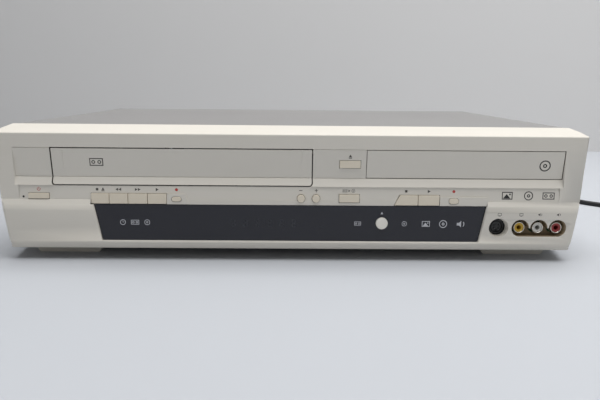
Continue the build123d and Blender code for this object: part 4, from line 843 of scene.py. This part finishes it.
panel_surface = surface_of("front_panel")
sign_row = 53.4                      # Z of the signs over the keys
tray_sign_row = 79.0                 # Z of the sign over the tray's key
badge_row = 50.6                     # Z of the badges at the right
socket_row = 37.0                    # Z of the signs over the sockets
s_video_x = 154.2
lamp_place = (-198.3, 47.7)
channel_x = (x_of("channel_down_button") + x_of("channel_up_button")) / 2
channel_step = 5.8                   # from between the channel keys to their signs
dubbing_x = x_of("dubbing_button")
tape_stop_x = x_of("tape_stop_button")
key_signs = (
    stop_sign(tape_stop_x - 2.1, sign_row)
    + eject_sign(tape_stop_x + 2.2, sign_row, 2.2)
    + double_wedge(x_of("rewind_button"), sign_row, 2.2, turn=180)
    + double_wedge(x_of("forward_button"), sign_row, 2.2)
    + wedge(x_of("tape_play_button"), sign_row, 2.4)
    + minus_sign(channel_x - channel_step, sign_row)
    + plus_sign(channel_x + channel_step, sign_row)
    + tape_sign(dubbing_x - 3.2, sign_row, 3.4)
    + wedge(dubbing_x, sign_row, 1.6)
    + disc_sign(dubbing_x + 3.0, sign_row, 1.3)
    + eject_sign(x_of("open_close_button"), tray_sign_row, 2.4)
    + stop_sign(x_of("disc_stop_button"), sign_row)
    + wedge(x_of("disc_play_button"), sign_row, 2.4)
)
socket_signs = (
    screen_sign(s_video_x, socket_row, 2.8)
    + screen_sign(x_of("yellow_jack"), socket_row, 2.8)
    + speaker_sign(x_of("white_jack"), socket_row, 2.6)
    + speaker_sign(x_of("red_jack"), socket_row, 2.6)
)
badges = (
    picture_sign(160.0, badge_row, 8.0)
    + disc_sign(176.0, badge_row, 3.4)
    + tape_sign(191.0, badge_row, 9.0)
)
record_signs = (
    power_sign(x_of("power_button"), sign_row, 1.3)
    + dot(x_of("tape_record_button"), sign_row, 1.1)
    + dot(x_of("disc_record_button"), sign_row, 1.1)
)
tape_door_sign = tape_sign(-144.0, 73.5, 10.0)
tray_sign = disc_sign(187.0, 73.0, 4.2)
print_signs("key_signs", key_signs + socket_signs, panel_surface, dark_ink, "case")
print_signs("badges", badges, panel_surface, black_ink, "case")
print_signs("record_signs", record_signs, panel_surface, red_ink, "case")
print_signs("power_lamp", dot(*lamp_place, 0.8), panel_surface, black_ink, "case")
print_signs("door_sign", tape_door_sign, surface_of("cassette_flap"), dark_ink, "flap")
print_signs("tray_sign", tray_sign, surface_of("tray_front"), black_ink, "tray")

window_surface = surface_of("display_window")
window_row = middle("display_window").z / MM
select_x = x_of("select_button")
window_signs = (
    clock_sign(-126.0, window_row, 2.1)
    + tape_sign(-117.0, window_row, 6.0)
    + disc_sign(-108.0, window_row, 2.1)
    + tape_sign(select_x - 18.0, window_row, 5.0)
    + disc_sign(select_x + 17.0, window_row, 1.9)
    + wedge(select_x, window_row + 8.0, 2.0, turn=90)
    + picture_sign(100.0, window_row, 6.0)
    + disc_sign(113.0, window_row, 3.0)
    + speaker_sign(126.0, window_row, 5.4)
)
first_digit_x = -44.0
digit_step = 9.0
colon_x = -21.5
display_signs = [outline for place in range(6)
                 for outline in digit(first_digit_x + digit_step * place, window_row, 6.0)]
display_signs += dot(colon_x, window_row + 1.2, 0.4) + dot(colon_x, window_row - 1.2, 0.4)
display_signs += bar(20.0, window_row - 3.0, 24.0, window_row - 2.4)
print_signs("window_signs", window_signs, window_surface, white_ink, "case")
print_signs("display_segments", display_signs, window_surface, segment_ink, "case")


# ---- door ribs --------------------------------------------------------------------------
rib_places = (-168.2, 6.8)
rib_low, rib_high = 64.0, 83.2
rib_half = 0.28                      # half its width
rib_rise = 0.25                      # at its upper end
rib_taper = 0.05                     # share of that at its lower end
rib_root = 0.05                      # how deep its sides reach into the door


def add_door_ribs():
    """Two fine upright ribs near the tape door's ends, which taper towards the crease."""
    surface = surface_of("cassette_flap")
    shape = bmesh.new()

    def corner(x, z, sideways, rise):
        return shape.verts.new(((x + sideways) * MM, surface(x, z) - rise * MM, z * MM))

    for x in rib_places:
        spine = [corner(x, rib_low, 0, rib_rise * rib_taper), corner(x, rib_high, 0, rib_rise)]
        left, right = ([corner(x, z, sideways, -rib_root) for z in (rib_low, rib_high)]
                       for sideways in (-rib_half, rib_half))
        shape.faces.new((left[0], spine[0], spine[1], left[1]))
        shape.faces.new((spine[0], right[0], right[1], spine[1]))
        shape.faces.new((left[1], spine[1], right[1]))
        shape.faces.new((left[0], right[0], spine[0]))
        shape.faces.new((left[0], left[1], right[1], right[0]))
    bmesh.ops.recalc_face_normals(shape, faces=shape.faces[:])
    make_piece("door_ribs", shape, [cream_abs], "flap")


add_door_ribs()


# ---- repeated pieces at the rear, by Geometry Nodes -------------------------------------
def set_inputs(modifier, tree, values):
    """Sets a modifier's inputs by their sockets' identifiers."""
    for item in tree.interface.items_tree:
        if item.item_type == "SOCKET" and item.in_out == "INPUT" and item.name in values:
            modifier[item.identifier] = values[item.name]


def new_tree(name, inputs):
    """New tree with these inputs and their kinds; gives it with its input sockets."""
    tree = bpy.data.node_groups.new(name, "GeometryNodeTree")
    for label, kind in inputs.items():
        tree.interface.new_socket(label, in_out="INPUT", socket_type=f"NodeSocket{kind}")
    tree.interface.new_socket("Geometry", in_out="OUTPUT", socket_type="NodeSocketGeometry")
    return tree, add(tree, "NodeGroupInput").outputs


def close_tree(tree, points, instance, tint):
    """Puts the instance on the points and gives them all their finish."""
    placed = add(tree, "GeometryNodeInstanceOnPoints", {"Points": points, "Instance": instance})
    real = add(tree, "GeometryNodeRealizeInstances", {"Geometry": placed.outputs[0]})
    finished = add(tree, "GeometryNodeSetMaterial", {"Geometry": real.outputs[0], "Material": tint})
    output = add(tree, "NodeGroupOutput")
    tree.links.new(finished.outputs[0], output.inputs[0])


def shell_tree():
    """Rows of plain tubes."""
    tree, given = new_tree("socket_shells", {"Columns": "Int", "Rows": "Int", "Pitch": "Float",
                                             "Radius": "Float", "Wall": "Float", "Length": "Float"})
    spans = []
    for count in ("Columns", "Rows"):
        gaps = add(tree, "ShaderNodeMath", {0: given[count], 1: 1.0}, operation="SUBTRACT")
        span = add(tree, "ShaderNodeMath", {0: gaps.outputs[0], 1: given["Pitch"]}, operation="MULTIPLY")
        spans.append(span.outputs[0])
    grid = add(tree, "GeometryNodeMeshGrid", {"Size X": spans[0], "Size Y": spans[1],
                                              "Vertices X": given["Columns"], "Vertices Y": given["Rows"]})
    circle = add(tree, "GeometryNodeCurvePrimitiveCircle", {"Radius": given["Radius"], "Resolution": 40})
    section = add(tree, "GeometryNodeCurvePrimitiveQuadrilateral",
                  {"Width": given["Wall"], "Height": given["Length"]})
    tube = add(tree, "GeometryNodeCurveToMesh",
               {"Curve": circle.outputs[0], "Profile Curve": section.outputs[0]})
    close_tree(tree, grid.outputs[0], tube.outputs[0], nickel)
    return tree


slot_lift = 0.6                      # how far the slots' boxes are raised, in head heights


def screw_tree():
    """A row of pan-head screws with crossed slots."""
    tree, given = new_tree("screw_row", {"Count": "Int", "Pitch": "Float", "Head radius": "Float",
                                         "Head height": "Float", "Slot width": "Float"})
    step = add(tree, "ShaderNodeCombineXYZ", {"X": given["Pitch"]})
    line = add(tree, "GeometryNodeMeshLine", {"Count": given["Count"], "Offset": step.outputs[0]})
    head = add(tree, "GeometryNodeMeshCylinder",
               {"Vertices": 24, "Radius": given["Head radius"], "Depth": given["Head height"]})
    lift = add(tree, "ShaderNodeMath", {0: given["Head height"], 1: slot_lift}, operation="MULTIPLY")
    rise = add(tree, "ShaderNodeCombineXYZ", {"Z": lift.outputs[0]})
    cut = add(tree, "GeometryNodeMeshBoolean", {"Mesh 1": head.outputs[0]}, operation="DIFFERENCE")
    for wide, tall in (("Head radius", "Slot width"), ("Slot width", "Head radius")):
        size = add(tree, "ShaderNodeCombineXYZ",
                   {"X": given[wide], "Y": given[tall], "Z": given["Head height"]})
        cube = add(tree, "GeometryNodeMeshCube", {"Size": size.outputs[0]})
        slot_box = add(tree, "GeometryNodeTransform",
                       {"Geometry": cube.outputs[0], "Translation": rise.outputs[0]})
        tree.links.new(slot_box.outputs[0], cut.inputs["Mesh 2"])
    close_tree(tree, line.outputs[0], cut.outputs[0], zinc_steel)
    return tree


def from_nodes(name, tree, values, place):
    """Runs a tree and keeps its result as a plain mesh on the rear of the case, facing backward."""
    holder = bpy.data.objects.new(name, bpy.data.meshes.new(name))
    bpy.context.scene.collection.objects.link(holder)
    modifier = holder.modifiers.new("nodes", "NODES")
    modifier.node_group = tree
    set_inputs(modifier, tree, values)
    evaluated = holder.evaluated_get(bpy.context.evaluated_depsgraph_get())
    mesh = bpy.data.meshes.new_from_object(evaluated)
    holder.modifiers.remove(modifier)
    turn = Matrix(((1, 0, 0), (0, 0, 1), (0, -1, 0))).to_4x4()   # its Z to +Y
    mesh.transform(Matrix.Translation(place) @ turn)
    mesh.shade_smooth()
    mesh.set_sharp_from_angle(angle=sharp_angle)
    holder.data = mesh
    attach(holder, "case")


shell_length = socket_rear - rear_face
shell_clearance = 0.05 * MM          # from the rear panel
sockets_z = 45.0 * MM
shell_sizes = {"Columns": 4, "Rows": 2, "Pitch": 14.0 * MM, "Radius": 3.9 * MM, "Wall": 0.6 * MM,
               "Length": shell_length}
shell_y = rear_face + shell_length / 2 + shell_clearance
from_nodes("rear_socket_shells", shell_tree(), shell_sizes,
           Vector((middle("rear_sockets").x, shell_y, sockets_z)))

first_screw_x, screws_z = -196.0 * MM, 88.0 * MM
head_middle = 0.6 * MM               # from the rear panel, so the head reaches 0.2 mm into it
screw_sizes = {"Count": 5, "Pitch": 98.0 * MM, "Head radius": 3.4 * MM, "Head height": 1.6 * MM,
               "Slot width": 0.8 * MM}
from_nodes("rear_screws", screw_tree(), screw_sizes,
           Vector((first_screw_x, rear_face + head_middle, screws_z)))


# ---- floor, backdrop and light ----------------------------------------------------------
wall_y = 0.66
far = 3.0                            # how far the floor and the backdrop reach


def flat_piece(name, corners, material):
    """One face in one material."""
    mesh = bpy.data.meshes.new(name)
    mesh.from_pydata(corners, [], [range(len(corners))])
    mesh.materials.append(material)
    made = bpy.data.objects.new(name, mesh)
    bpy.context.scene.collection.objects.link(made)
    return made


def paper_with_painted_falloff(name, left, right, half):
    """Matt background paper, painted lighter from left to right over half metres to either side of the
    middle: a painted falloff of the light.
    """
    material, tree, shader, place = new_finish(name, Roughness=0.9)
    x = add(tree, "ShaderNodeSeparateXYZ", {"Vector": place}).outputs["X"]
    share = add(tree, "ShaderNodeMapRange", {"Value": x, "From Min": -half, "From Max": half}).outputs[0]
    vary_colour(tree, shader, share, left, right)
    return material


def clear_from_behind(material):
    """Lets the backdrop be looked through from its back."""
    tree = material.node_tree
    output = next(node for node in tree.nodes if node.type == "OUTPUT_MATERIAL")
    paper = next(node for node in tree.nodes if node.type == "BSDF_PRINCIPLED")
    side = add(tree, "ShaderNodeNewGeometry").outputs["Backfacing"]
    clear = add(tree, "ShaderNodeBsdfTransparent").outputs[0]
    mixed = add(tree, "ShaderNodeMixShader", {0: side, 1: paper.outputs[0], 2: clear})
    tree.links.new(mixed.outputs[0], output.inputs["Surface"])
    return material


# floor and backdrop: painted light falloff, lighter towards the softbox on the right
floor = flat_piece("floor", [(-far, -far, 0), (far, -far, 0), (far, far, 0), (-far, far, 0)],
                   paper_with_painted_falloff("floor_paper", "b6b9be", "bec1c6", 0.4))
wall = flat_piece("backdrop", [(-far, wall_y, 0), (far, wall_y, 0), (far, wall_y, far), (-far, wall_y, far)],
                  clear_from_behind(paper_with_painted_falloff("wall_paper", "cdcccb", "dcdbda", 0.6)))

softbox_place = Vector((0.3, 0.0, 1.8))
softbox_aim = Vector((0.05, 0.0, 0.0))
softbox_size = 2.2
softbox_power = 57.0
sky_strength = 0.27


def add_softbox():
    """Wide overhead light, a little to the right."""
    data = bpy.data.lights.new("overhead", "AREA")
    data.shape = "SQUARE"
    data.size = softbox_size
    data.energy = softbox_power
    lamp = bpy.data.objects.new("overhead", data)
    lamp.location = softbox_place
    lamp.rotation_euler = (softbox_aim - softbox_place).to_track_quat("-Z", "Y").to_euler()
    bpy.context.scene.collection.objects.link(lamp)


def add_sky():
    """Even white light from all round."""
    world = bpy.data.worlds.new("studio")
    world.use_nodes = True
    sky = world.node_tree.nodes["Background"].inputs
    sky["Color"].default_value = linear("f2f3f4")
    sky["Strength"].default_value = sky_strength
    bpy.context.scene.world = world


add_softbox()
add_sky()
bpy.context.scene.view_settings.view_transform = "Standard"
